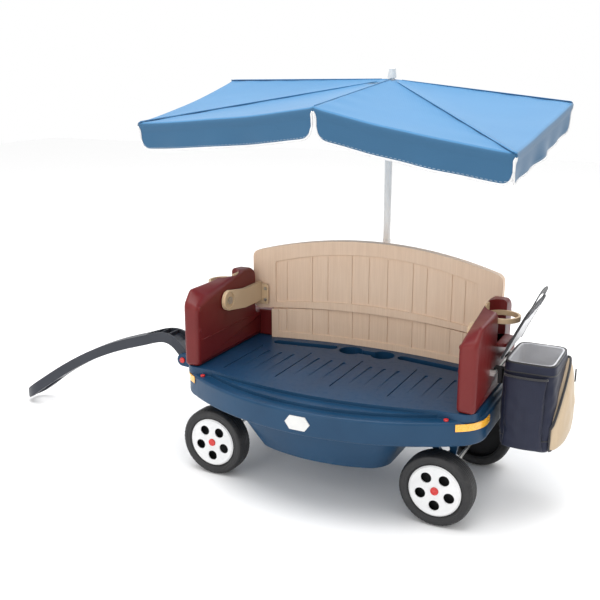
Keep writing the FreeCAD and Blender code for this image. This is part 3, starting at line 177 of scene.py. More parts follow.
def sweep(path: Array, profile: Array, closed: bool = False, up: Optional[Array] = None) -> Surface:
    """Carry a closed profile along a path.

    A point is the path's point, plus the profile's first number times the side direction there,
    plus its second number times the up direction there.
    """
    _, side, rise = path_frames(path, closed, up)
    points = (path[:, None] + side[:, None] * profile[None, :, :1]
              + rise[:, None] * profile[None, :, 1:])
    return Surface(points, around=True, along=closed, cap_start=not closed, cap_end=not closed)


def ring(radius: float, count: int = 10, flat: float = 1.0) -> Array:
    """Return a round profile: the cosine and sine of even turns times the radius."""
    turn = np.arange(count) * (2 * math.pi / count)
    return np.stack([np.cos(turn) * radius, np.sin(turn) * radius * flat], axis=1)


def resample(points: Array, count: int, closed: bool = False) -> Array:
    """Return points spread evenly by length along a broken line."""
    points = np.asarray(points, float)
    if closed:
        points = np.concatenate([points, points[:1]])
    lengths = np.concatenate([[0.0], np.cumsum(np.linalg.norm(np.diff(points, axis=0), axis=1))])
    at = np.linspace(0.0, lengths[-1], count, endpoint=not closed)
    return np.stack([np.interp(at, lengths, points[:, k]) for k in range(3)], axis=1)


def rounded_box_ring(half_x: Array, half_y: Array, power: float, count: int) -> tuple[Array, Array]:
    """Return the plan points of a superellipse ring.

    With t the turn, x is the half width times the signed 2/power-th power of cos t, and y the
    same with sin t, so that power 2 is an ellipse and a large power a box.
    """
    turn = np.arange(count) * (2 * math.pi / count) + math.pi / count
    c, s = np.cos(turn), np.sin(turn)
    x = np.sign(c) * np.abs(c) ** (2 / power)
    y = np.sign(s) * np.abs(s) ** (2 / power)
    return half_x[:, None] * x[None], half_y[:, None] * y[None]


def ripple(p: Array, scale: float, seed: float = 0.0) -> Array:
    """Return a smooth field between about -1 and 1 over points: a sum of slanted sine waves."""
    x, y, z = p[..., 0] / scale, p[..., 1] / scale, p[..., 2] / scale
    return (np.sin(1.9 * x + 1.3 * z + 0.7 * y + seed) * np.cos(1.1 * y - 1.7 * z + 2.3 * seed)
            + 0.6 * np.sin(3.1 * z - 2.3 * x + 2.9 * y + 1.7 * seed)
            + 0.35 * np.sin(5.3 * x + 4.1 * y - 6.1 * z + 0.4 * seed)) / 1.6


def pillow(name: str, first: Array, second: Array, low: float, high: float, radius: float,
           steps: int = 6) -> bpy.types.Object:
    """Make a slab with softly rounded edges between two like outlines in the YZ plane.

    Across the slab the outline turns from the first to the second.  It is drawn in by the radius
    less the radius times the sine of a quarter turn near each face, while X moves by the radius
    times one less the cosine, so that both edges are quarter circles.

    Args:
        name: Name of the piece.
        first: Y and Z of the outline at the low face.
        second: Y and Z of the outline at the high face.
        low: X of the first face.
        high: X of the second face.
        radius: Radius of the edges.
        steps: Rows in each quarter circle.

    Returns:
        The closed piece.
    """
    turn = np.linspace(0.0, math.pi / 2, steps)
    inset = radius * (1 - np.sin(turn))
    across = radius * (1 - np.cos(turn))
    sign = math.copysign(1.0, high - low)
    x = np.concatenate([low + sign * across, high - sign * across[::-1]])
    inset = np.concatenate([inset, inset[::-1]])
    share = (x - low) / (high - low)
    outline = first[None] + (second - first)[None] * share[:, None, None]
    way = unit(np.roll(outline, -1, 1) - np.roll(outline, 1, 1))
    out = np.stack([way[..., 1], -way[..., 0]], axis=-1)
    moved = outline - out * inset[:, None, None]
    points = np.concatenate([np.broadcast_to(x[:, None, None], moved.shape[:2] + (1,)), moved], axis=-1)
    return make_piece(name, [Surface(points, around=True, cap_start=True, cap_end=True)])


def soft_outline(corners: Sequence[tuple[float, float]], spread: float, count: int = 420) -> Array:
    """Return an outline with round corners.

    The corners' broken line is divided evenly by length, and each point becomes the mean of the
    points within the spread on both sides, so that a corner turns into a short parabola.
    """
    flat = np.array([(y, z, 0.0) for y, z in corners], float)
    line = resample(flat, count, closed=True)[:, :2]
    length = float(np.linalg.norm(np.diff(np.concatenate([line, line[:1]]), axis=0), axis=1).sum())
    reach = max(1, int(round(spread / (length / count))))
    weight = np.ones(2 * reach + 1) / (2 * reach + 1)
    ring_ = np.concatenate([line[-reach:], line, line[:reach]])
    return np.stack([np.convolve(ring_[:, k], weight, "valid") for k in (0, 1)], axis=1)


def puff(obj: bpy.types.Object, voxel: float, pressure: float, cap: float, frames: int = 20) -> None:
    """Swell a closed padded piece by a short cloth simulation, and keep the result.

    The mesh is remade in even cells, air pressure pushes it out for a few frames without
    gravity, and no point may end further from its start than the cap.

    Args:
        obj: The closed piece, before it is dressed.
        voxel: Size of a cell in metres.
        pressure: Air pressure of the simulation.
        cap: Greatest move of a point in metres.
        frames: Frames to run.
    """
    scene = bpy.context.scene
    remesh = obj.modifiers.new("even cells", "REMESH")
    remesh.mode = "VOXEL"
    remesh.voxel_size = voxel
    obj.data = bpy.data.meshes.new_from_object(obj.evaluated_get(bpy.context.evaluated_depsgraph_get()))
    obj.modifiers.clear()
    start = mesh_points(obj.data)
    cloth = obj.modifiers.new("cloth", "CLOTH")
    cloth.settings.quality = 6
    cloth.settings.use_pressure = True
    cloth.settings.uniform_pressure_force = pressure
    cloth.settings.effector_weights.gravity = 0.0
    for step in range(1, frames + 1):
        scene.frame_set(step)
    result = bpy.data.meshes.new_from_object(obj.evaluated_get(bpy.context.evaluated_depsgraph_get()))
    move = mesh_points(result) - start
    length = np.linalg.norm(move, axis=1, keepdims=True)
    move = move * np.minimum(1.0, cap / np.maximum(length, 1e-9))
    obj.modifiers.clear()
    scene.frame_set(1)
    obj.data.vertices.foreach_set("co", (start + move).astype(np.float32).ravel())
    obj.data.polygons.foreach_set("use_smooth", np.ones(len(obj.data.polygons), bool))
    bpy.data.meshes.remove(result)
    finer = obj.modifiers.new("finer", "SUBSURF")
    finer.levels = 1
    finer.render_levels = 1


def mesh_points(mesh: bpy.types.Mesh) -> Array:
    """Return a mesh's points as an array with one row each."""
    co = np.zeros(len(mesh.vertices) * 3, np.float32)
    mesh.vertices.foreach_get("co", co)
    return co.reshape(-1, 3).astype(float)


def cut_away(obj: bpy.types.Object, cutters: Sequence[bpy.types.Object]) -> None:
    """Cut solids out of a piece, keep the result as its mesh and mark the new sharp edges."""
    for cutter in cutters:
        step = obj.modifiers.new("cut", "BOOLEAN")
        step.operation = "DIFFERENCE"
        step.solver = "EXACT"
        step.object = cutter
    graph = bpy.context.evaluated_depsgraph_get()
    mesh = bpy.data.meshes.new_from_object(obj.evaluated_get(graph))
    obj.modifiers.clear()
    obj.data = mesh
    for cutter in cutters:
        bpy.data.objects.remove(cutter, do_unlink=True)
    sharpen(mesh, 38.0)


def sharpen(mesh: bpy.types.Mesh, degrees: float) -> None:
    """Shade a mesh smooth, apart from edges that turn by more than the angle."""
    bm = bmesh.new()
    bm.from_mesh(mesh)
    limit = math.radians(degrees)
    for face in bm.faces:
        face.smooth = True
    for edge in bm.edges:
        edge.smooth = len(edge.link_faces) == 2 and edge.calc_face_angle(0.0) < limit
    bm.to_mesh(mesh)
    bm.free()


def drum(name: str, centre: Array, radius: float, low: float, high: float,
         count: int = 72) -> bpy.types.Object:
    """Make a closed upright drum: a circle at each of two heights."""
    turn = np.arange(count) * (2 * math.pi / count)
    circle = np.stack([centre[0] + radius * np.cos(turn), centre[1] + radius * np.sin(turn)], axis=1)
    points = np.stack([np.column_stack([circle, np.full(count, z)]) for z in (low, high)])
    return make_piece(name, [Surface(points, around=True, cap_start=True, cap_end=True)])


# ---- finishes ---------------------------------------------------------------------------------
class Graph:
    """A material's node tree, with short calls to add and join nodes."""

    def __init__(self, name: str) -> None:
        """Start an empty material with its shader and output."""
        self.material = bpy.data.materials.new(name)
        self.material.use_nodes = True
        self.tree = self.material.node_tree
        self.shader = self.tree.nodes["Principled BSDF"]

    def add(self, kind: str, links: Optional[dict] = None, **settings: object) -> bpy.types.Node:
        """Add a node.

        Args:
            kind: The node's type name without its ShaderNode start.
            links: Values or output sockets for its inputs, by the input's name or number.
            settings: Plain attributes of the node.

        Returns:
            The new node.
        """
        node = self.tree.nodes.new("ShaderNode" + kind)
        for key, value in settings.items():
            setattr(node, key, value)
        for key, value in (links or {}).items():
            self.put(node, key, value)
        return node

    def put(self, node: bpy.types.Node, key: object, value: object) -> None:
        """Link an output socket to an input, or set the input's own value."""
        if isinstance(value, bpy.types.NodeSocket):
            self.tree.links.new(value, node.inputs[key])
        else:
            node.inputs[key].default_value = value

    def place(self, scale: tuple[float, float, float], turn: Colour = (0, 0, 0)) -> bpy.types.NodeSocket:
        """Return the object's own coordinates, scaled and turned."""
        where = self.add("TexCoord").outputs["Object"]
        return self.add("Mapping", {"Vector": where, "Scale": scale, "Rotation": turn}).outputs[0]

    def cloth_uv(self) -> bpy.types.NodeSocket:
        """Return the cloth coordinates of a sheet, in metres."""
        return self.add("UVMap", uv_map="cloth").outputs[0]

    def noise(self, where: bpy.types.NodeSocket, scale: float, detail: float = 3.0,
              rough: float = 0.5) -> bpy.types.NodeSocket:
        """Return soft noise at a scale of so many cells per unit."""
        links = {"Vector": where, "Scale": scale, "Detail": detail, "Roughness": rough}
        return self.add("TexNoise", links).outputs[0]

    def spread(self, value: bpy.types.NodeSocket, low: float, high: float,
               at: tuple[float, float] = (0.3, 0.7)) -> bpy.types.NodeSocket:
        """Return a value mapped from the range at to the range low to high."""
        links = {0: value, 1: at[0], 2: at[1], 3: low, 4: high}
        return self.add("MapRange", links).outputs[0]

    def mix(self, share: object, first: object, second: object) -> bpy.types.NodeSocket:
        """Return a colour between two, by a share from 0 to 1."""
        node = self.add("Mix", data_type="RGBA")
        for key, value in ((0, share), (6, first), (7, second)):
            if isinstance(value, tuple):
                value = (*value[:3], 1.0)
            self.put(node, key, value)
        return node.outputs[2]

    def sum(self, first: object, second: object, how: str = "ADD") -> bpy.types.NodeSocket:
        """Return two values put together by a Math operation."""
        return self.add("Math", {0: first, 1: second}, operation=how).outputs[0]

    def bump(self, height: bpy.types.NodeSocket, depth: float, strength: float = 1.0,
             normal: Optional[bpy.types.NodeSocket] = None) -> bpy.types.NodeSocket:
        """Return the normal of a surface with a height in metres of depth."""
        links = {"Height": height, "Distance": depth, "Strength": strength}
        if normal is not None:
            links["Normal"] = normal
        return self.add("Bump", links).outputs[0]

    def finish(self, **sockets: object) -> bpy.types.Material:
        """Set the shader's sockets, given with _ for a space, and return the material."""
        for key, value in sockets.items():
            name = key.replace("_", " ")
            if isinstance(value, tuple) and len(value) == 3 and "Color" in name or "Tint" in name:
                value = (*value[:3], 1.0) if isinstance(value, tuple) else value
            self.put(self.shader, name, value)
        return self.material


@dataclass(frozen=True)
class MouldedPlastic:
    """Rotation-moulded or injected plastic: fine pebble grain, faint cloudiness and soft edges.

    The grain is noise a little under a millimetre across.  The cloudiness is noise a hand wide
    that mixes the colour with a slightly lighter one, and small dull scuffs raise the roughness.
    """

    colour: Colour
    light: Colour
    rough: float = 0.36
    grain: float = 0.00005
    edge: float = 0.0016
    coat: float = 0.0

    def build(self, name: str) -> bpy.types.Material:
        """Return the material."""
        g = Graph(name)
        where = g.place((1, 1, 1))
        cloud = g.noise(where, 7.0, 4.0)
        fine = g.noise(where, 900.0, 2.0)
        scuff = g.noise(g.place((60, 60, 22)), 1.0, 6.0, 0.7)
        tone = g.mix(g.spread(cloud, 0.0, 1.0), self.colour, self.light)
        rough = g.sum(g.spread(scuff, 0.0, 0.12, (0.52, 0.72)),
                      g.spread(cloud, self.rough, self.rough + 0.06))
        edge = g.add("Bevel", {"Radius": self.edge}, samples=4).outputs[0]
        normal = g.bump(fine, self.grain, 1.0, edge)
        return g.finish(Base_Color=tone, Roughness=rough, Normal=normal, Coat_Weight=self.coat,
                        Coat_Roughness=0.12, Specular_IOR_Level=0.30)


@dataclass(frozen=True)
class GrainedPlastic:
    """Plastic moulded with an upright wood-like grain.

    The grain is noise drawn out along Z: about a millimetre and a half across and several
    centimetres long.  It lowers the surface and darkens the colour a little.
    """

    colour: Colour
    dark: Colour
    rough: float = 0.52

    def build(self, name: str) -> bpy.types.Material:
        """Return the material."""
        g = Graph(name)
        fibre = g.noise(g.place((330, 330, 9)), 1.0, 4.0, 0.6)
        streak = g.noise(g.place((70, 70, 3)), 1.0, 3.0)
        cloud = g.noise(g.place((5, 5, 5)), 1.0, 2.0)
        tone = g.mix(g.spread(fibre, 0.0, 0.55), self.colour, self.dark)
        tone = g.mix(g.spread(streak, 0.0, 0.30), tone, self.dark)
        tone = g.mix(g.spread(cloud, 0.0, 0.12), tone, (0.9, 0.8, 0.66))
        edge = g.add("Bevel", {"Radius": 0.002}, samples=4).outputs[0]
        normal = g.bump(g.sum(fibre, streak), 0.00022, 0.8, edge)
        rough = g.spread(fibre, self.rough - 0.06, self.rough + 0.08)
        return g.finish(Base_Color=tone, Roughness=rough, Normal=normal)


@dataclass(frozen=True)
class TyrePlastic:
    """Matt black blow-moulded tyre: dusty lighter patches and a coarse pebble."""

    colour: Colour = (0.012, 0.012, 0.013)

    def build(self, name: str) -> bpy.types.Material:
        """Return the material."""
        g = Graph(name)
        dust = g.noise(g.place((26, 26, 26)), 1.0, 5.0, 0.65)
        fine = g.noise(g.place((620, 620, 620)), 1.0, 2.0)
        tone = g.mix(g.spread(dust, 0.0, 1.0, (0.5, 0.75)), self.colour, (0.034, 0.033, 0.033))
        return g.finish(Base_Color=tone, Roughness=g.spread(dust, 0.42, 0.62), IOR=1.5,
                        Normal=g.bump(fine, 0.00009))


@dataclass(frozen=True)
class GlossPlastic:
    """Glossy injected plastic with a faint orange-peel surface."""

    colour: Colour
    rough: float = 0.18

    def build(self, name: str) -> bpy.types.Material:
        """Return the material."""
        g = Graph(name)
        peel = g.noise(g.place((120, 120, 120)), 1.0, 2.0)
        smear = g.noise(g.place((30, 30, 30)), 1.0, 4.0)
        dim = tuple(0.86 * c for c in self.colour)
        tone = g.mix(g.spread(smear, 0.0, 0.6), self.colour, dim)
        edge = g.add("Bevel", {"Radius": 0.0009}, samples=4).outputs[0]
        return g.finish(Base_Color=tone, Roughness=g.spread(smear, self.rough, self.rough + 0.14),
                        Normal=g.bump(peel, 0.00004, 0.6, edge), Coat_Weight=0.25)


@dataclass(frozen=True)
class ReflectorPlastic:
    """Amber reflector: small prisms under a clear face, made as a fine cell pattern."""

    colour: Colour = (0.95, 0.4, 0.015)

    def build(self, name: str) -> bpy.types.Material:
        """Return the material."""
        g = Graph(name)
        cell = g.add("TexVoronoi", {"Vector": g.place((420, 420, 420)), "Scale": 1.0})
        tone = g.mix(g.spread(cell.outputs["Distance"], 0.0, 1.0, (0.1, 0.7)), (1.0, 0.62, 0.08), self.colour)
        return g.finish(Base_Color=tone, Roughness=0.22, Coat_Weight=0.8, Coat_Roughness=0.05,
                        Normal=g.bump(cell.outputs["Distance"], 0.0003, 0.8))


@dataclass(frozen=True)
class Steel:
    """Plated steel with fine turning marks."""

    colour: Colour = (0.60, 0.60, 0.58)
    rough: float = 0.3

    def build(self, name: str) -> bpy.types.Material:
        """Return the material."""
        g = Graph(name)
        marks = g.noise(g.place((40, 900, 900)), 1.0, 3.0)
        spots = g.noise(g.place((90, 90, 90)), 1.0, 4.0)
        tone = g.mix(g.spread(spots, 0.0, 0.35), self.colour, (0.34, 0.33, 0.31))
        rough = g.spread(marks, self.rough - 0.07, self.rough + 0.12)
        return g.finish(Base_Color=tone, Metallic=1.0, Roughness=rough,
                        Normal=g.bump(marks, 0.00003))


@dataclass(frozen=True)
class Enamel:
    """White enamel on a steel tube: glossy, with slow waves and a few dull rubbed places."""

    colour: Colour = (0.80, 0.80, 0.78)

    def build(self, name: str) -> bpy.types.Material:
        """Return the material."""
        g = Graph(name)
        rub = g.noise(g.place((40, 40, 12)), 1.0, 5.0, 0.6)
        wave = g.noise(g.place((60, 60, 18)), 1.0, 2.0)
        tone = g.mix(g.spread(rub, 0.0, 1.0, (0.55, 0.75)), self.colour, (0.70, 0.70, 0.67))
        return g.finish(Base_Color=tone, Roughness=g.spread(rub, 0.22, 0.42), Coat_Weight=0.4,
                        Coat_Roughness=0.08, Normal=g.bump(wave, 0.0002, 0.5))


@dataclass(frozen=True)
class WovenCloth:
    """Plain woven cloth: warp and weft waves a thread apart, over and under in turn.

    The height is the warp's sine wave times the weft's, on the cloth's own coordinates in
    metres, with broad creases from drawn-out noise.  Where a sheet has a hem attribute, which
    is the distance to its cut edge in metres, a row of stitches dips 5 mm inside that edge.
    Where it has a flap attribute, the colour is darkened to about half as painted shade,
    because the hanging flaps get less light than the cloth on top.
    """

    colour: Colour
    shade: Colour
    thread: float = 0.0011
    depth: float = 0.00012
    rough: float = 0.72
    sheen: float = 0.25
    crease: float = 0.0012
    crease_size: float = 9.0
    uv: bool = True
    hem: bool = False
    glow: float = 0.0

    def build(self, name: str) -> bpy.types.Material:
        """Return the material."""
        g = Graph(name)
        where = g.cloth_uv() if self.uv else g.place((1, 1, 1))
        turns = 0.05 / self.thread
        ways = [g.add("TexWave", {"Vector": where, "Scale": turns, "Distortion": 0.35, "Detail": 1.0},
                      wave_type="BANDS", bands_direction=way).outputs[1] for way in ("X", "Y")]
        weave = g.sum(ways[0], ways[1], "MULTIPLY")
        slub = g.noise(where, 0.28 / self.thread, 3.0)
        cloud = g.noise(g.place((3.2, 3.2, 3.2)), 1.0, 3.0)
        fold = g.noise(g.place((self.crease_size,) * 3), 1.0, 2.5, 0.45)
        tone = g.mix(g.spread(cloud, 0.0, 0.55), self.colour, self.shade)
        tone = g.mix(g.spread(weave, 0.28, 0.0, (0.0, 1.0)), tone, self.shade)
        tone = g.mix(g.spread(slub, 0.0, 0.18), tone, self.shade)
        normal = g.bump(fold, self.crease, 0.7)
        normal = g.bump(g.sum(weave, slub), self.depth, 0.8, normal)
        if self.hem:
            # Painted shade: where the flap attribute is set, the colour is darkened to 0.52 of the cloth's
            # own, because the hanging flaps get less light than the top.
            flap = g.add("Attribute", attribute_name="flap").outputs["Fac"]
            tone = g.mix(flap, tone, tuple(0.52 * c for c in self.colour))
            edge = g.add("Attribute", attribute_name="hem").outputs["Fac"]
            near = g.spread(g.sum(g.sum(edge, 0.006, "SUBTRACT"), 0.0, "ABSOLUTE"), 1.0, 0.0, (0.0, 0.0012))
            row = g.add("TexWave", {"Vector": where, "Scale": 28.0}, bands_direction="X").outputs[1]
            stitch = g.sum(near, g.spread(row, 0.0, 1.0, (0.25, 0.45)), "MULTIPLY")
            tone = g.mix(g.sum(stitch, 0.5, "MULTIPLY"), tone, (0.72, 0.8, 0.86))
            normal = g.bump(g.sum(1.0, near, "SUBTRACT"), 0.0006, 0.9, normal)
        return g.finish(Base_Color=tone, Roughness=self.rough, Normal=normal, Sheen_Weight=self.sheen,
                        Sheen_Roughness=0.4, Subsurface_Weight=self.glow,
                        Subsurface_Radius=(0.004, 0.006, 0.009), IOR=1.42)


@dataclass(frozen=True)
class Webbing:
    """Polyester webbing: slanted ribs across the tape and duller valleys between them."""

    colour: Colour = (0.010, 0.010, 0.012)

    def build(self, name: str) -> bpy.types.Material:
        """Return the material."""
        g = Graph(name)
        where = g.place((1, 1, 1), (0.6, 0.4, 0.3))
        rib = g.add("TexWave", {"Vector": where, "Scale": 130.0, "Distortion": 0.4},
                    bands_direction="DIAGONAL").outputs[1]
        fuzz = g.noise(g.place((500, 500, 500)), 1.0, 3.0)
        tone = g.mix(g.spread(rib, 0.0, 0.8, (0.2, 0.9)), self.colour, (0.035, 0.035, 0.04))
        return g.finish(Base_Color=tone, Roughness=0.7, Sheen_Weight=0.3,
                        Normal=g.bump(g.sum(rib, fuzz), 0.0003, 0.7))


class Finish(Enum):
    """The record's material slots and how each is finished."""

    navy_body = MouldedPlastic((0.006, 0.042, 0.098), (0.010, 0.055, 0.122), 0.36)
    maroon_panel = MouldedPlastic((0.135, 0.011, 0.011), (0.165, 0.015, 0.014), 0.36)
    tan_panel = GrainedPlastic((0.90, 0.66, 0.475), (0.74, 0.51, 0.345))
    tan_trim = MouldedPlastic((0.66, 0.47, 0.28), (0.72, 0.53, 0.33), 0.42)
    screw_steel = Steel()
    red_trim = GlossPlastic((0.62, 0.022, 0.018))
    charcoal_handle = MouldedPlastic((0.026, 0.030, 0.040), (0.038, 0.042, 0.054), 0.34)
    tyre_black = TyrePlastic()
    core_black = MouldedPlastic((0.010, 0.010, 0.011), (0.016, 0.016, 0.017), 0.5)
    hubcap_white = GlossPlastic((0.80, 0.80, 0.80), 0.22)
    amber_reflector = ReflectorPlastic()
    badge_plate = GlossPlastic((0.74, 0.74, 0.72), 0.25)
    pole_white = Enamel()
    white_plastic = GlossPlastic((0.80, 0.80, 0.78), 0.25)
    # hem=True also turns on the painted shade that darkens the hanging flaps.
    canopy_fabric = WovenCloth((0.060, 0.222, 0.430), (0.044, 0.178, 0.360), crease=0.0016, hem=True,
                               glow=0.04)
    bag_fabric = WovenCloth((0.0075, 0.0100, 0.0270), (0.012, 0.016, 0.040), 0.0009, 0.00014, 0.6, 0.10,
                            0.002, 22.0, uv=False)
    bag_lining = WovenCloth((0.78, 0.78, 0.80), (0.66, 0.67, 0.70), 0.0016, 0.00010, 0.32, 0.1,
                            0.002, 26.0, uv=False)
    webbing_black = Webbing()
    pocket_tan = WovenCloth((0.62, 0.49, 0.34), (0.52, 0.40, 0.27), 0.0010, 0.00014, 0.75, 0.25,
                            0.0016, 20.0, uv=False)

    def material(self) -> bpy.types.Material:
        """Return this finish's material, made on its first use."""
        name = "finish_" + self.name
        return bpy.data.materials.get(name) or self.value.build(name)


def dress(obj: bpy.types.Object, finish: Finish, body: str = "",
          stands_for: Sequence[str] = ()) -> bpy.types.Object:
    """Give a piece its finish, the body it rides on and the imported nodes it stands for.

    Args:
        obj: The piece, finished and in place.
        finish: Its finish.
        body: The body it moves with.
        stands_for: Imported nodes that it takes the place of.

    Returns:
        The same piece.
    """
    obj.data.materials.clear()
    obj.data.materials.append(finish.material())
    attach(obj, body)
    if stands_for:
        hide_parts(*stands_for)
    log.info("%s: %s, %d faces", obj.name, finish.name, len(obj.data.polygons))
    return obj


def wear(node: str, finish: Finish) -> None:
    """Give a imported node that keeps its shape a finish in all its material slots."""
    obj = NODES[node]
    if not obj.material_slots:
        obj.data.materials.append(None)
    for place in obj.material_slots:
        place.material = finish.material()
    log.info("%s keeps its packed shape: %s", node, finish.name)


@dataclass
class HardParts:
    """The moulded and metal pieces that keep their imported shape."""

    def finishes(self) -> dict[str, Finish]:
        """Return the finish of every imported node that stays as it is."""
        table = {"wagon_body": Finish.navy_body, "axle_brackets": Finish.navy_body,
                 "axles": Finish.screw_steel, "hitch_pin": Finish.screw_steel,
                 "hitch_pin_caps": Finish.red_trim, "deck_plugs": Finish.red_trim,
                 "reflectors": Finish.amber_reflector, "badge": Finish.badge_plate,
                 "plate_screws": Finish.screw_steel, "pivot_screw_rear": Finish.screw_steel,
                 "pivot_screw_front": Finish.screw_steel, "pole_socket": Finish.navy_body,
                 "pole_sleeve": Finish.pole_white, "umbrella_pole": Finish.pole_white,
                 "tilt_fork": Finish.white_plastic, "tilt_pin": Finish.screw_steel,
                 "canopy_stub": Finish.pole_white, "rib_hub": Finish.white_plastic,
                 "runner": Finish.white_plastic, "ribs": Finish.screw_steel,
                 "stretchers": Finish.screw_steel, "rib_tips": Finish.white_plastic,
                 "finial": Finish.white_plastic, "cooler_rail": Finish.screw_steel,
                 "bag_hooks": Finish.core_black, "pull_handle": Finish.charcoal_handle,
                 "back_panel_lower": Finish.tan_panel, "back_panel_upper": Finish.tan_panel}
        for end in ("rear", "front"):
            table["cup_ring_" + end] = Finish.tan_trim
            table["swing_arm_" + end] = Finish.tan_trim
            for side in ("near", "far"):
                place = end + "_" + side
                table["wheel_core_" + place] = Finish.core_black
                table["hubcap_" + place] = Finish.hubcap_white
                table["axle_cap_" + place] = Finish.red_trim
        return table

    def build(self) -> None:
        """Give the hard nodes their finishes."""
        for node, finish in self.finishes().items():
            wear(node, finish)


@dataclass
class EndPanels:
    """The two maroon end panels: thick slabs with round shoulders, a corner post and a cup well.

    Lengths are in metres from the wagon's middle line and the floor.
    """

    inner: float = 0.381
    thick: float = 0.050
    nose: float = -0.220
    back: float = 0.123
    post_back: float = 0.192
    post_front: float = 0.147
    post_inner: float = 0.335
    post_top: float = 0.406
    round_edge: float = 0.013
    ring_centre: tuple[float, float] = (0.432, 0.008)
    ring_seat: float = 0.0473
    well: float = 0.042
    shelf: float = 0.024

    def __post_init__(self) -> None:
        """Read the middle of the wagon, the deck's height and the heights of the rings."""
        self.middle = middle("axles")
        self.deck = float(low_high("end_panel_rear")[0][2])
        self.ring_low = float(low_high("cup_ring_rear")[0][2])
        self.well_floor = self.ring_low - 0.053

    def outline(self, crest: Sequence[tuple[float, float]]) -> Array:
        """Return the side outline under a crest line, in the row frame."""
        corners = [(self.nose, self.deck), (self.post_back, self.deck), (self.post_back, self.post_top),
                   (self.back, self.post_top), (self.back, 0.520), *reversed(crest)]
        return soft_outline(corners, 0.011) + np.array([self.middle[1], 0.0])

    def build(self) -> None:
        """Make both panels, the front one as the rear one's mirror."""
        for end, sign in (("rear", 1.0), ("front", -1.0)):
            self.panel(end, sign)
            self.details(end, sign)

    def panel(self, end: str, sign: float) -> None:
        """Make one panel with its post and cup well.

        The inner face's crest climbs in one slope from the nose to the hump at the back, and the
        outer face's crest climbs steeply at the nose and then dips, so the top is a twisted facet.
        """
        slope = [(self.nose, 0.500), (-0.200, 0.5075), (0.000, 0.5520), (0.050, 0.5590),
                 (0.100, 0.5540), (self.back, 0.536)]
        dip = [(self.nose, 0.507), (-0.188, 0.5480), (-0.060, 0.5440), (0.040, 0.5570),
               (0.100, 0.5540), (self.back, 0.536)]
        x0 = self.middle[0] + sign * self.inner
        x1 = x0 + sign * self.thick
        slab = pillow("end_panel_" + end + "_shell", self.outline(slope), self.outline(dip), x0, x1,
                      self.round_edge)
        centre = np.array([self.middle[0] + sign * self.ring_centre[0], self.middle[1] + self.ring_centre[1]])
        seat = drum("seat", centre, self.ring_seat, self.ring_low, 0.62)
        well = drum("well", centre, self.well, self.well_floor, self.ring_low + 0.01)
        cut_away(slab, [seat, well])
        low = np.array([self.post_front, self.deck + 0.0005]) + [self.middle[1], 0]
        high = np.array([self.post_back, self.post_top - 0.0005]) + [self.middle[1], 0]
        box = [(low[0], low[1]), (high[0], low[1]), (high[0], high[1]), (low[0], high[1])]
        rim = soft_outline(box, 0.004, 160)
        post = pillow("end_post_" + end, rim, rim, self.middle[0] + sign * self.post_inner,
                      x0 + sign * 0.012, 0.006)
        turn = np.linspace(0, 2 * math.pi, 96, endpoint=False)
        reach = np.minimum(np.cos(turn) * self.ring_seat, self.shelf)
        disc = np.stack([centre[0] + sign * reach, centre[1] + np.sin(turn) * self.ring_seat], 1)
        levels = self.well_floor - np.array([0.010, 0.0095, 0.0085, 0.0015, 0.0005, 0.0])
        shrink = np.array([0.0015, 0.0005, 0.0, 0.0, 0.0005, 0.0015]) / self.ring_seat
        tray = np.stack([np.column_stack([centre + (disc - centre) * (1 - k), np.full(96, z)])
                         for k, z in zip(shrink, levels)])
        shelf = make_piece("cup_shelf_" + end, [Surface(tray, around=True, cap_start=True, cap_end=True)])
        node = "end_panel_" + end
        dress(slab, Finish.maroon_panel, "wagon", (node,))
        for obj in (post, shelf):
            dress(obj, Finish.maroon_panel, "wagon", (node,))

    def details(self, end: str, sign: float) -> None:
        """Make the raised line and the two catch bumps on a panel's inner side."""
        x = self.middle[0] + sign * (self.inner - 0.0002)
        y = self.middle[1] + np.array([self.nose + 0.022, self.back - 0.022,
                                       self.back - 0.014, self.back - 0.012])
        z = np.array([0.400, 0.400, 0.408, 0.428])
        path = resample(np.column_stack([np.full(4, x), y, z]), 80)
        line = sweep(path, ring(0.0016, 10), up=np.array([-sign, 0.0, 0.0]))
        bumps = [self.bump(sign, z_) for z_ in (0.430, 0.492)]
        dress(make_piece("panel_line_" + end, [line, *bumps]), Finish.maroon_panel, "wagon")

    def bump(self, sign: float, z: float) -> Surface:
        """Return a small half-sunk egg on the near inner edge."""
        a = np.linspace(0.05, math.pi - 0.05, 12)[:, None]
        b = np.arange(20)[None] * (2 * math.pi / 20)
        x = self.middle[0] + sign * (self.inner + 0.003) + 0.005 * np.sin(a) * np.cos(b)
        y = self.middle[1] + self.nose + 0.014 + 0.006 * np.sin(a) * np.sin(b)
        height = z + 0.008 * np.cos(a) + 0 * b
        return Surface(np.stack([x, y, height], -1), around=True, cap_start=True, cap_end=True)


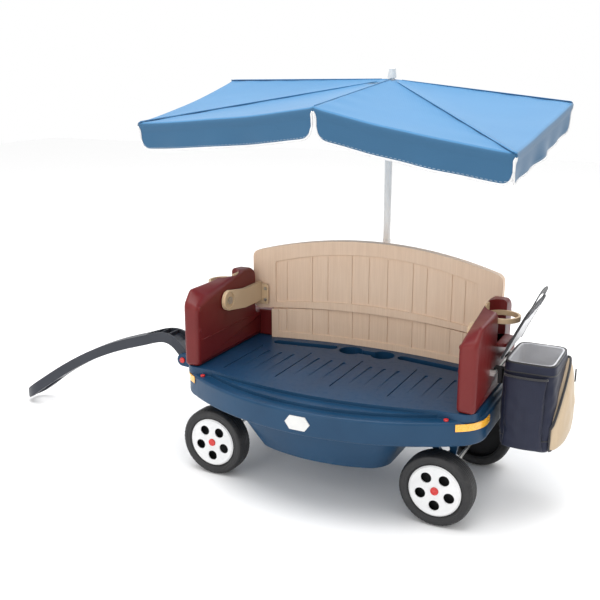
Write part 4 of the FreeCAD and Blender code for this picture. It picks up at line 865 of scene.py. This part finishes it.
@dataclass
class Tyres:
    """The four tyres, turned from a profile, with grooves round the tread and lugs beside them."""

    radius: float = 0.100
    rim: float = 0.0745
    wall: float = 0.009
    groove: float = 0.0022
    lugs: int = 54
    around: int = 216

    def build(self) -> None:
        """Make each tyre about its packed tyre's middle."""
        for end in ("front", "rear"):
            for side in ("near", "far"):
                self.tyre(end + "_" + side)

    def tyre(self, place: str) -> None:
        """Make one tyre.

        The section runs from the rim over the outer wall, the tread and the inner wall, and back
        under the tread.  Its tread radius is the wheel's less a crown of the width squared, less
        five round-bottomed grooves, and less shallow lugs near the shoulders, which are a steep
        sine of the turn.
        """
        node = "tyre_" + place
        low, high = low_high(node)
        centre, half = (low + high) / 2, float(high[1] - low[1]) / 2
        w = np.linspace(-1.0, 1.0, 61)
        tread = self.radius - 0.0015 * w ** 2
        shoulder = 0.010
        edge = np.maximum(np.abs(w) * half - (half - shoulder), 0)
        tread = tread - (shoulder - np.sqrt(np.maximum(shoulder ** 2 - edge ** 2, 0))) * 0.9
        for g in (-0.62, -0.31, 0.0, 0.31, 0.62):
            tread = tread - self.groove * np.exp(-((w - g) * half / 0.0011) ** 4)
        side_r = np.array([self.rim, self.rim + 0.003, self.rim + 0.006, self.rim + 0.0075, self.rim + 0.0095,
                           self.rim + 0.011])
        side_w = np.array([0.86, 0.93, 0.955, 0.94, 0.975, 0.995])
        inner_r = np.array([self.rim - 0.001, self.rim - 0.001])
        radii = np.concatenate([side_r, tread, side_r[::-1], inner_r])
        widths = np.concatenate([-side_w, w, side_w[::-1], [0.6, -0.6]])
        turn = np.arange(self.around) * (2 * math.pi / self.around)
        lug = 0.5 + 0.5 * np.tanh(5 * np.sin(turn * self.lugs))
        band = np.exp(-((np.abs(widths) - 0.82) / 0.09) ** 4) * (radii > self.rim + 0.012)
        r = radii[None] - 0.0014 * lug[:, None] * band[None]
        points = np.stack([centre[0] + r * np.cos(turn)[:, None],
                           centre[1] + half * np.broadcast_to(widths, r.shape),
                           centre[2] + r * np.sin(turn)[:, None]], axis=-1)
        obj = make_piece(node + "_tread", [Surface(points, around=True, along=True)])
        dress(obj, Finish.tyre_black, "wheel_" + place, (node,))


@dataclass
class Canopy:
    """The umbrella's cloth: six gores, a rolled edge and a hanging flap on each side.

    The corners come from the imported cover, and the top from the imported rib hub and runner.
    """

    drop: float = 0.080
    roll: float = 0.011
    sag: float = 0.012
    scallop: float = 0.004
    notch: float = 0.006
    corner: float = 0.030
    thick: float = 0.0009
    piping: float = 0.0030
    rise: float = 0.028
    columns: int = 49
    rows: int = 34
    flap_rows: int = 15

    def __post_init__(self) -> None:
        """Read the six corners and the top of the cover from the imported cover."""
        points = np.unique(np.round(mesh_points(NODES["canopy_cover"].data), 5), axis=0)
        self.corners = self.find_corners(points)
        self.axis = unit(middle("rib_hub") - middle("runner"))
        self.apex = middle("rib_hub") + self.axis * self.rise

    def find_corners(self, points: Array) -> Array:
        """Return the upper point at each of the cover's six plan corners, in order round it."""
        middle_xy = points[:, :2].mean(0)
        away = np.linalg.norm(points[:, :2] - middle_xy, axis=1)
        far = points[away > 0.3]
        turn = np.arctan2(far[:, 1] - middle_xy[1], far[:, 0] - middle_xy[0])
        order = np.argsort(turn)
        far, turn = far[order], turn[order]
        gaps = np.where(np.diff(turn, append=turn[0] + 2 * math.pi) > 0.1)[0]
        groups = np.split(far, gaps[:-1] + 1) if gaps[-1] == len(far) - 1 else np.split(far, gaps + 1)
        return np.array([g[np.argmax(g[:, 2])] for g in groups if len(g)])

    def outward(self, first: Array, second: Array) -> Array:
        """Return the level direction that points out of an edge."""
        way = unit(second - first)
        side = unit(np.array([way[1], -way[0], 0.0]))
        inward = self.apex - (first + second) / 2
        return -side if np.dot(side, inward) > 0 else side

    def gore(self, first: Array, second: Array) -> tuple[Array, Array, Array]:
        """Return one gore with its rolled edge and flap.

        With u from 0 to 1 across the gore and v from 0 at the top to 1 at the edge, the cover's
        point is the top plus v times the edge point less the top.  It sinks by the sag times
        4u(1-u) times v(1.35-v), and near the ribs it puckers by a fine ripple.  The edge turns
        down through a quarter circle of the roll's radius, and the flap hangs from it, with its
        lower corners cut to a circle and waves that grow towards its hem.

        Args:
            first: The corner at u = 0.
            second: The corner at u = 1.

        Returns:
            The points on a rows by columns grid, their cloth coordinates and the distance of
            each from the cloth's cut edge.
        """
        u = np.linspace(0.0, 1.0, self.columns)
        v = np.linspace(0.012, 1.0, self.rows) ** 0.9
        out = self.outward(first, second)
        span = float(np.linalg.norm(second - first))
        edge = first + (second - first) * u[:, None]
        bow = 4 * u * (1 - u)
        edge = edge - out * (self.scallop * bow + self.roll)[:, None]
        up = unit(np.cross(second - self.apex, first - self.apex))
        up = up if up[2] > 0 else -up
        cover = self.apex + v[:, None, None] * (edge - self.apex)[None]
        dip = self.sag * bow[None] ** 0.8 * (v * (1.35 - v) / 0.456)[:, None]
        rib = np.minimum(u, 1 - u) * span
        pucker = 0.0016 * np.exp(-rib / 0.05)[None] * np.sin(v * 34.0 + first[0] * 9)[:, None] * v[:, None]
        wave = 0.0016 * ripple(cover, 0.16, first[0] * 5) * bow[None] * v[:, None]
        cover = cover - up * (dip - wave)[..., None] + up * (pucker * smooth(rib / 0.02)[None])[..., None]
        turn = np.linspace(0.0, math.pi / 2, 7)[1:]
        shoulder = (cover[-1][None] + out * (self.roll * np.sin(turn))[:, None, None]
                    - np.array([0, 0, 1.0]) * (self.roll * (1 - np.cos(turn)))[:, None, None])
        hang = np.linspace(0.0, 1.0, self.flap_rows + 1)[1:]
        length = self.drop - self.roll
        along = np.clip(u * span, self.notch, span - self.notch)
        near = np.minimum(along - self.notch, span - self.notch - along)
        cut = self.corner - np.sqrt(np.maximum(self.corner ** 2 - np.maximum(self.corner - near, 0) ** 2, 0))
        fall = length - cut
        down = hang[:, None] * fall[None]
        slide = (along - u * span)[None] * smooth(down / 0.012)
        billow = 0.006 * np.sin(u * span * 17 + first[1] * 11) + 0.004 * np.sin(u * span * 39 + 2.0)
        share = down / length
        lean = (0.25 * share + 0.75 * share ** 2) * (billow * bow ** 0.5)[None] - 0.05 * down
        way = unit(second - first)
        away = (lean - 0.004) * smooth(down / 0.02)
        flap = (shoulder[-1][None] + way * slide[..., None] + out * away[..., None]
                - np.array([0, 0, 1.0]) * down[..., None])
        points = np.concatenate([cover, shoulder, flap])
        steps = np.linalg.norm(np.diff(points, axis=0), axis=2)
        depth = np.concatenate([np.zeros((1, self.columns)), np.cumsum(steps, axis=0)])
        across = (u - 0.5)[None] * np.linalg.norm(points[:, -1] - points[:, 0], axis=1)[:, None]
        cloth = np.stack([across, depth], axis=-1)
        hem = np.full(depth.shape, 1.0)
        edge_near = np.minimum((depth[-1] - depth), near[None] + cut[None])
        hem[self.rows + 6:] = edge_near[self.rows + 6:]
        return points, cloth, hem

    def hem_line(self, points: Array) -> Array:
        """Return the flap's cut edge: down one side, along the bottom and up the other."""
        top = self.rows + 6
        left, bottom, right = points[top:, 0], points[-1, 1:-1], points[top:, -1][::-1]
        return np.concatenate([left, bottom, right])

    def seam(self, points: Array) -> Array:
        """Return the sewn seam over one rib, a little above the cloth."""
        return points[1:self.rows, 0] + self.axis * 0.0006

    def build(self) -> None:
        """Make the cloth, its white piping and its seams, and put them on the canopy body."""
        surfaces, cloths, hems, edges, seams = [], [], [], [], []
        count = len(self.corners)
        for i in range(count):
            points, cloth, hem = self.gore(self.corners[i], self.corners[(i + 1) % count])
            surfaces.append(Surface(points))
            cloths.append(cloth.reshape(-1, 2))
            hems.append(hem.ravel())
            edges.append(self.hem_line(points))
            seams.append(self.seam(points))
        flat = sum(self.area(s.points) for s in surfaces)
        cover = self.cloth_piece(surfaces, np.concatenate(cloths), np.concatenate(hems))
        dress(cover, Finish.canopy_fabric, "canopy", ("canopy_cover", "canopy_valance"))
        cord = [sweep(resample(line, 150), ring(self.piping, 8)) for line in edges]
        piping = make_piece("canopy_piping", cord)
        dress(piping, Finish.hubcap_white, "canopy")
        welt = [sweep(resample(line, 60), ring(0.0013, 6, 0.7), up=self.axis) for line in seams]
        dress(make_piece("canopy_seams", welt), Finish.canopy_fabric, "canopy")

    def area(self, points: Array) -> float:
        """Return a grid's area: half the lengths of the cross products of its cells' diagonals."""
        one = points[1:, 1:] - points[:-1, :-1]
        two = points[1:, :-1] - points[:-1, 1:]
        return float(np.linalg.norm(np.cross(one, two), axis=2).sum() / 2)

    def cloth_piece(self, surfaces: list[Surface], cloth: Array, hem: Array) -> bpy.types.Object:
        """Join the gores along their seams, with the hem's distance kept on every point."""
        obj = make_piece("canopy_cloth", surfaces, cloth, weld=1e-9, recalc=False)
        layer = obj.data.attributes.new("hem", "FLOAT", "POINT")
        layer.data.foreach_set("value", hem.astype(np.float32))
        # The flap attribute marks the hanging flaps, which the cloth finish darkens as painted shade.
        flap = np.zeros((len(surfaces), *surfaces[0].points.shape[:2]), np.float32)
        flap[:, self.rows + 3:] = 1.0
        layer = obj.data.attributes.new("flap", "FLOAT", "POINT")
        layer.data.foreach_set("value", flap.ravel())
        bm = bmesh.new()
        bm.from_mesh(obj.data)
        bmesh.ops.remove_doubles(bm, verts=bm.verts, dist=0.0004)
        bmesh.ops.recalc_face_normals(bm, faces=bm.faces)
        if sum(f.normal.z for f in bm.faces) < 0:
            bmesh.ops.reverse_faces(bm, faces=bm.faces)
        bm.to_mesh(obj.data)
        bm.free()
        wall = obj.modifiers.new("cloth thickness", "SOLIDIFY")
        wall.thickness = self.thick
        wall.offset = -1.0
        return obj


@dataclass
class Cooler:
    """The soft cooler bag: a sagging shell, its lining, a padded lid, two pockets and tapes.

    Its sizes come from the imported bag, lid and pockets.
    """

    wall: float = 0.0075
    bulge: float = 0.008
    sag: float = 0.006
    around: int = 96
    up: int = 44
    power: float = 7.0
    taper: float = 0.007
    tuck: float = 0.009
    lid_corner: float = 0.022
    lid_crown: float = 0.0026
    lid_belly: float = 0.0018
    lid_cell: float = 0.0022
    lid_swell: float = 0.0010
    lining_share: float = 0.84
    pocket_cell: float = 0.004
    pocket_swell: float = 0.004
    edges: Optional[dict[str, Array]] = None

    def __post_init__(self) -> None:
        """Read the bag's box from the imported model."""
        self.low, self.high = low_high("cooler_bag")
        self.centre = (self.low + self.high) / 2
        self.half = (self.high - self.low) / 2

    def shell_points(self, inset: float, z0: float, z1: float, rows: int, slack: float) -> Array:
        """Return a loft of superellipse rings.

        At the height share t the ring's half widths are the bag's, less the inset, pulled in a
        little at the top and the foot by the bulge times (1 - 4t(1-t)), and the whole side
        wrinkles by a ripple times the slack.  The foot's edge is a quarter circle, because the
        first rows come in by 1 less the sine of their turn.
        """
        t = np.linspace(0.0, 1.0, rows)
        pull = self.bulge * (1 - 4 * t * (1 - t)) * 0.45 + inset
        foot = 0.016
        rise = t * (z1 - z0)
        round_in = foot - np.sqrt(np.maximum(foot ** 2 - np.maximum(foot - rise, 0) ** 2, 0))
        taper = self.taper * smooth((z0 + rise - self.low[2]) / (self.high[2] - self.low[2]))
        x, y = rounded_box_ring(self.half[0] - pull - round_in, self.half[1] - pull - round_in - taper,
                                self.power, self.around)
        z = np.broadcast_to((z0 + rise)[:, None], x.shape)
        points = np.stack([x + self.centre[0], y + self.centre[1], z], axis=-1)
        out = np.stack([x / self.half[0], y / self.half[1], np.zeros_like(x)], axis=-1)
        fold = slack * ripple(points, 0.036, 2.0) * smooth(t * 6)[:, None] * smooth((1 - t) * 9)[:, None]
        dent = slack * 0.8 * np.sin(t * math.pi * 3.2 + 0.6)[:, None] * np.abs(y / self.half[1])
        return points + unit(out) * (fold - np.abs(dent) * 0.6 - slack)[..., None]

    def build(self) -> None:
        """Make the bag's pieces and put them on the cooler and the lid."""
        self.bag()
        self.lining()
        self.lid()
        self.loop()
        self.side_pocket()
        self.front_pocket()
        self.zip_pull()

    def bag(self) -> None:
        """Make the navy shell with its closed foot, seam piping and rim tape."""
        outer = self.shell_points(0.0, self.low[2], self.high[2] - 0.004, self.up, 0.0022)
        inner = self.shell_points(self.wall - 0.001, self.low[2] + 0.006, self.high[2] - 0.004,
                                  self.up, 0.0022)[::-1]
        points = np.concatenate([outer, inner])
        shell = make_piece("bag_shell", [Surface(points, around=True, cap_start=True, cap_end=True)])
        dress(shell, Finish.bag_fabric, "cooler", ("cooler_bag",))
        rim = (outer[-1] + inner[0]) / 2
        rim = resample(rim, 160, closed=True)
        rim[:, 2] = self.high[2] - 0.003
        tape = sweep(rim, ring(self.wall * 0.42, 12), closed=True)
        dress(make_piece("bag_rim_tape", [tape]), Finish.webbing_black, "cooler")
        seam = resample(outer[7], 200, closed=True)
        band = resample(outer[-5], 200, closed=True)
        welts = [sweep(line, ring(0.0017, 8), closed=True) for line in (seam, band)]
        dress(make_piece("bag_seams", welts), Finish.webbing_black, "cooler")

    def lining(self) -> None:
        """Make the white lining: a tub whose floor and sides are padded in soft quilted waves."""
        top = self.high[2] - 0.002
        floor = self.low[2] + 0.014
        outer = self.shell_points(self.wall - 0.0006, floor, top, 30, 0.0012)
        inner = self.shell_points(self.wall + 0.0022, floor + 0.003, top, 30, 0.0022)[::-1]
        points = np.concatenate([outer, inner])
        tub = make_piece("bag_lining", [Surface(points, around=True, cap_start=True, cap_end=True)])
        roll = resample((outer[-1] + inner[0]) / 2, 160, closed=True) - np.array([0, 0, 0.0018])
        roll_piece = make_piece("lining_roll", [sweep(roll, ring(0.0032, 12), closed=True)])
        dress(roll_piece, Finish.bag_lining, "cooler")
        dress(tub, Finish.bag_lining, "cooler", ("cooler_liner",))

    def lid_frame(self) -> tuple[Array, Array, Array, float]:
        """Return the lid's start, the way it runs, its upper normal and its reach, at rest.

        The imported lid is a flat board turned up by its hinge.  Its farthest point from the hinge
        gives the way, and a level line along Y gives the rest.
        """
        points = mesh_points(NODES["cooler_lid"].data)
        centre = points.mean(0)
        flat = points[:, [0, 2]] - centre[[0, 2]]
        way2 = np.linalg.svd(flat - flat.mean(0), full_matrices=False)[2][0]
        way2 = way2 if way2[1] > 0 else -way2
        way = np.array([way2[0], 0.0, way2[1]])
        normal = np.array([-way[2], 0.0, way[0]])
        along = points @ way
        across = points @ normal
        mid = (across.max() + across.min()) / 2
        start = way * along.min() + normal * mid + np.array([0, self.centre[1], 0])
        return start, way, normal, float(along.max() - along.min())

    def lid(self) -> None:
        """Make the padded lid: a crowned cushion with a white inner face and a black bound edge."""
        start, way, normal, reach = self.lid_frame()
        half_y = self.half[1]
        n = 40
        a, b = np.meshgrid(np.linspace(0, 1, n), np.linspace(-1, 1, n), indexing="ij")
        corner = self.lid_corner
        depth = a * reach
        squeeze = corner - np.sqrt(np.maximum(corner ** 2 - np.maximum(depth - (reach - corner), 0) ** 2, 0))
        width = half_y - squeeze
        crown = np.clip(1 - np.abs(b) ** 6, 0, 1) ** 0.5 * np.clip(1 - np.abs(2 * a - 1) ** 8, 0, 1) ** 0.5
        base = start + way * depth[..., None] + np.array([0, 1.0, 0]) * (b * width)[..., None]
        curl = normal * (-0.001 * (2 * a - 1) ** 2 + 0.0004 * np.sin(b * 4 + 1))[..., None]
        quilt = 0.0004 * np.sin(a * 22) * np.sin(b * 14)
        outer = base + curl + normal * ((self.lid_crown + quilt) * crown)[..., None]
        under = base + curl - normal * (self.lid_belly * crown)[..., None]
        pad = make_piece("lid_pad", [Surface(outer), Surface(under[:, ::-1])], weld=2e-4)
        puff(pad, self.lid_cell, 4.0, self.lid_swell)
        keep = int(n * self.lining_share)
        face = base + curl - normal * (0.0034 * crown + 0.0004 + quilt)[..., None]
        inner = make_piece("lid_lining", [Surface(face[2:keep, 2:-2])], recalc=False)
        self.close_face(inner, -normal)
        dress(inner, Finish.bag_lining, "cooler_lid")
        dress(pad, Finish.bag_fabric, "cooler_lid", ("cooler_lid",))
        board = base + curl
        rim = np.concatenate([board[:, 0], board[-1, 1:-1], board[::-1, -1]])
        binding = sweep(resample(rim, 160), ring(0.0034, 10), up=normal)
        dress(make_piece("lid_binding", [binding]), Finish.webbing_black, "cooler_lid")

    def close_face(self, obj: bpy.types.Object, normal: Array) -> None:
        """Turn an open sheet's faces to the given side."""
        total = np.zeros(3)
        for face in obj.data.polygons:
            total += np.array(face.normal)
        if float(total @ normal) < 0:
            obj.data.flip_normals()

    def loop(self) -> None:
        """Make the webbing loop on the lid's free end: a flat tape along a half ellipse."""
        start, way, normal, reach = self.lid_frame()
        low, high = low_high("lid_loop")
        half = (high[1] - low[1]) / 2 - 0.012
        tip = start + way * reach
        rise = float(np.linalg.norm((high - tip)[[0, 2]])) - 0.004
        turn = np.linspace(0.0, math.pi, 60)
        droop = 0.004 * np.sin(turn) ** 2
        path = (tip + np.array([0, 1.0, 0]) * (np.cos(turn) * half)[:, None]
                 + way * (np.sin(turn) ** 0.62 * rise)[:, None] + normal * droop[:, None])
        profile = rounded_profile(0.011, 0.0015)
        tape = make_piece("lid_loop_tape", [sweep(path, profile, up=normal)])
        dress(tape, Finish.webbing_black, "cooler_lid", ("lid_loop",))

    def pocket(self, name: str, node: str, finish: Finish, slant: float, belly: float) -> bpy.types.Object:
        """Make a slack pocket: a closed pouch whose outer face bellies out.

        On its face with p across and q up from 0 to 1, the depth is the pocket's bulge times
        the fourth root of sin(pi p) and of sin(pi q), tilted so that the belly is low, and the
        top edge falls by the slant from one side to the other.
        """
        low, high = low_high(node)
        p, q = np.meshgrid(np.linspace(0, 1, 46), np.linspace(0, 1, 46), indexing="ij")
        outward_x = node == "side_pocket"
        if outward_x:
            base = np.array([low[0], low[1], low[2]])
            axis = np.array([0, high[1] - low[1], 0])
            out = np.array([1.0, 0, 0])
            depth_max = high[0] - low[0]
        else:
            base = np.array([low[0], high[1], low[2]])
            axis = np.array([high[0] - low[0], 0, 0])
            out = np.array([0, -1.0, 0])
            depth_max = high[1] - low[1]
        tall = (high[2] - low[2]) * (1 - slant * (1 - np.sin(p * math.pi / 2) ** 0.75))
        depth = belly * depth_max * np.sin(np.pi * p) ** 0.28 * np.sin(np.pi * q ** 0.72) ** 0.45
        lip = 0.30 * depth_max * np.sin(np.pi * p) ** 0.5 * smooth((q - 0.8) / 0.2)
        waves = ripple(np.stack([p * 0.2, q * 0.2, p * 0.1], -1), 0.03, 4.0)
        fold = 0.0022 * waves * np.sin(np.pi * p) * np.sin(np.pi * q)
        face = base + axis * p[..., None] + np.array([0, 0, 1.0]) * (q * tall)[..., None]
        tuck = self.tuck * (1 - np.sin(np.pi * p) ** 0.35)
        front = face + out * (np.maximum(depth, lip) + fold + 0.001 - tuck)[..., None]
        back = face - out * (self.tuck + 0.001)
        obj = make_piece(name, [Surface(front), Surface(back[:, ::-1])], weld=1e-6)
        self.stitch_rims(obj, front, back)
        puff(obj, self.pocket_cell, 3.0, self.pocket_swell)
        dress(obj, finish, "cooler", (node,))
        self.edges[name] = front
        return obj

    def stitch_rims(self, obj: bpy.types.Object, front: Array, back: Array) -> None:
        """Close a pouch along its four sides, with one strip of faces between the two grids."""
        def border(grid: Array) -> Array:
            """Return the points round a grid, once."""
            return np.concatenate([grid[:-1, 0], grid[-1, :-1], grid[:0:-1, -1], grid[0, :0:-1]])
        strip = Surface(np.stack([border(front), border(back)]), around=True)
        extra = make_piece(obj.name + "_rim", [strip])
        bm = bmesh.new()
        bm.from_mesh(obj.data)
        bm.from_mesh(extra.data)
        bmesh.ops.remove_doubles(bm, verts=bm.verts, dist=1e-6)
        bmesh.ops.recalc_face_normals(bm, faces=bm.faces)
        for face in bm.faces:
            face.smooth = True
        bm.to_mesh(obj.data)
        bm.free()
        bpy.data.objects.remove(extra, do_unlink=True)

    def side_pocket(self) -> None:
        """Make the tan pocket on the outer end, with a black bound slanting mouth."""
        self.edges = {}
        self.pocket("pocket_tan", "side_pocket", Finish.pocket_tan, 0.70, 0.92)
        front = self.edges["pocket_tan"]
        mouth = sweep(resample(front[:, -1], 60), ring(0.0034, 10), up=np.array([1.0, 0, 0]))
        sides = [sweep(resample(front[k], 60), ring(0.0022, 8), up=np.array([1.0, 0, 0])) for k in (0, -1)]
        foot = sweep(resample(front[:, 0], 60), ring(0.0022, 8), up=np.array([1.0, 0, 0]))
        dress(make_piece("pocket_binding", [mouth, *sides, foot]), Finish.webbing_black, "cooler")

    def front_pocket(self) -> None:
        """Make the navy pocket on the near side, with its elastic mouth."""
        self.pocket("pocket_navy", "front_pocket", Finish.bag_fabric, 0.0, 0.85)
        front = self.edges["pocket_navy"]
        mouth = sweep(resample(front[:, -1], 60), ring(0.0030, 10), up=np.array([0, -1.0, 0]))
        dress(make_piece("pocket_mouth", [mouth]), Finish.webbing_black, "cooler")

    def zip_pull(self) -> None:
        """Make the zip's puller: a tapered tab."""
        low, high = low_high("zip_pull")
        t = np.linspace(0.0, 1.0, 24)
        wide = 0.0040 + 0.0016 * np.sin(t * math.pi) ** 0.5
        y = (low[1] + high[1]) / 2
        turn = np.arange(16) * (math.pi / 8)
        z = high[2] - t * (high[2] - low[2])
        cloth = self.edges["pocket_tan"].reshape(-1, 3)
        away = (cloth[None, :, 1] - y) ** 2 + (cloth[None, :, 2] - z[:, None]) ** 2
        x = cloth[np.argmin(away, axis=1), 0].max() + 0.0055
        thin = 0.0016 + 0.0004 * np.sin(t * math.pi)
        px = x + thin[:, None] * np.cos(turn)[None]
        py = y + wide[:, None] * np.sin(turn)[None]
        pz = np.broadcast_to(z[:, None], px.shape)
        tab = Surface(np.stack([px, py, pz], -1), around=True, cap_start=True, cap_end=True)
        dress(make_piece("zip_tab", [tab]), Finish.core_black, "cooler", ("zip_pull",))


def rounded_profile(half_wide: float, half_thick: float, count: int = 5) -> Array:
    """Return a flat tape's section: two straight faces with half circles at the sides."""
    turn = np.linspace(-math.pi / 2, math.pi / 2, count)
    right = np.stack([half_wide - half_thick + np.cos(turn) * half_thick, np.sin(turn) * half_thick], 1)
    return np.concatenate([right, -right])


# ---- studio -----------------------------------------------------------------------------------
@dataclass
class Studio:
    """Pale floor, soft lights and the camera."""

    lens: float = 52.45
    dip: float = 15.05
    heading: float = 26.72
    aside: float = 0.9529
    back: float = 2.2217
    height: float = 1.1661

    def build(self) -> None:
        """Make the floor, the lights and the camera."""
        self.floor()
        self.world()
        self.light("top", (0.1, -0.5, 4.4), 3.4, 130.0)
        self.light("key", (-0.6, -4.2, 1.5), 2.2, 30.0)
        self.light("back", (1.6, 2.9, 3.0), 2.2, 40.0)
        self.camera()
        bpy.context.scene.view_settings.view_transform = "Standard"

    def floor(self) -> None:
        """Make the plain pale floor as one wide sheet."""
        a = np.linspace(-9.0, 9.0, 3)
        x, y = np.meshgrid(a, a, indexing="ij")
        obj = make_piece("floor", [Surface(np.stack([x, y, np.zeros_like(x)], -1))], recalc=False)
        g = Graph("pale floor")
        obj.data.materials.append(g.finish(Base_Color=(0.96, 0.96, 0.96), Roughness=0.8))
        if obj.data.polygons[0].normal.z < 0:
            obj.data.flip_normals()

    def world(self) -> None:
        """Light everything evenly from a pale sky."""
        world = bpy.data.worlds.new("studio")
        bpy.context.scene.world = world
        world.use_nodes = True
        tree = world.node_tree
        back = tree.nodes["Background"]
        back.inputs[0].default_value = (1.0, 1.0, 1.0, 1.0)
        seen = tree.nodes.new("ShaderNodeLightPath").outputs["Is Camera Ray"]
        height = tree.nodes.new("ShaderNodeSeparateXYZ")
        tree.links.new(tree.nodes.new("ShaderNodeTexCoord").outputs["Generated"], height.inputs[0])
        glow = tree.nodes.new("ShaderNodeMapRange")
        for key, value in ((1, -0.1), (2, 1.0), (3, 0.46), (4, 1.25)):
            glow.inputs[key].default_value = value
        tree.links.new(height.outputs[2], glow.inputs[0])
        shown = tree.nodes.new("ShaderNodeMix")
        shown.inputs[3].default_value = 1.0
        tree.links.new(seen, shown.inputs[0])
        tree.links.new(glow.outputs[0], shown.inputs[2])
        tree.links.new(shown.outputs[0], back.inputs[1])

    def light(self, name: str, at: Colour, size: float, watts: float) -> None:
        """Add a square area light that looks at the wagon."""
        data = bpy.data.lights.new(name, "AREA")
        data.energy = watts
        data.size = size
        obj = bpy.data.objects.new(name, data)
        bpy.context.scene.collection.objects.link(obj)
        obj.location = at
        aim = Vector((0.3, -0.1, 0.4)) - Vector(at)
        obj.rotation_euler = aim.to_track_quat("-Z", "Y").to_euler()

    def camera(self) -> None:
        """Set the camera on the near side, towards the cooler, level with the umbrella's top."""
        data = bpy.data.cameras.new("camera")
        data.lens = self.lens
        data.sensor_width = 36.0
        data.clip_end = 60.0
        obj = bpy.data.objects.new("camera", data)
        bpy.context.scene.collection.objects.link(obj)
        wheels = [middle("tyre_" + place) for place in ("front_near", "rear_near", "front_far", "rear_far")]
        centre = np.mean(wheels, axis=0)
        obj.location = (centre[0] + self.aside, centre[1] - self.back, self.height)
        obj.rotation_euler = (math.radians(90.0 - self.dip), 0.0, math.radians(self.heading))
        bpy.context.scene.camera = obj


def main() -> None:
    """Build every sub-assembly in order and report its pieces."""
    logging.basicConfig(level=logging.INFO, format="%(name)s: %(message)s")
    Studio().build()
    HardParts().build()
    EndPanels().build()
    Tyres().build()
    Canopy().build()
    Cooler().build()


if __name__ == "__main__":
    main()
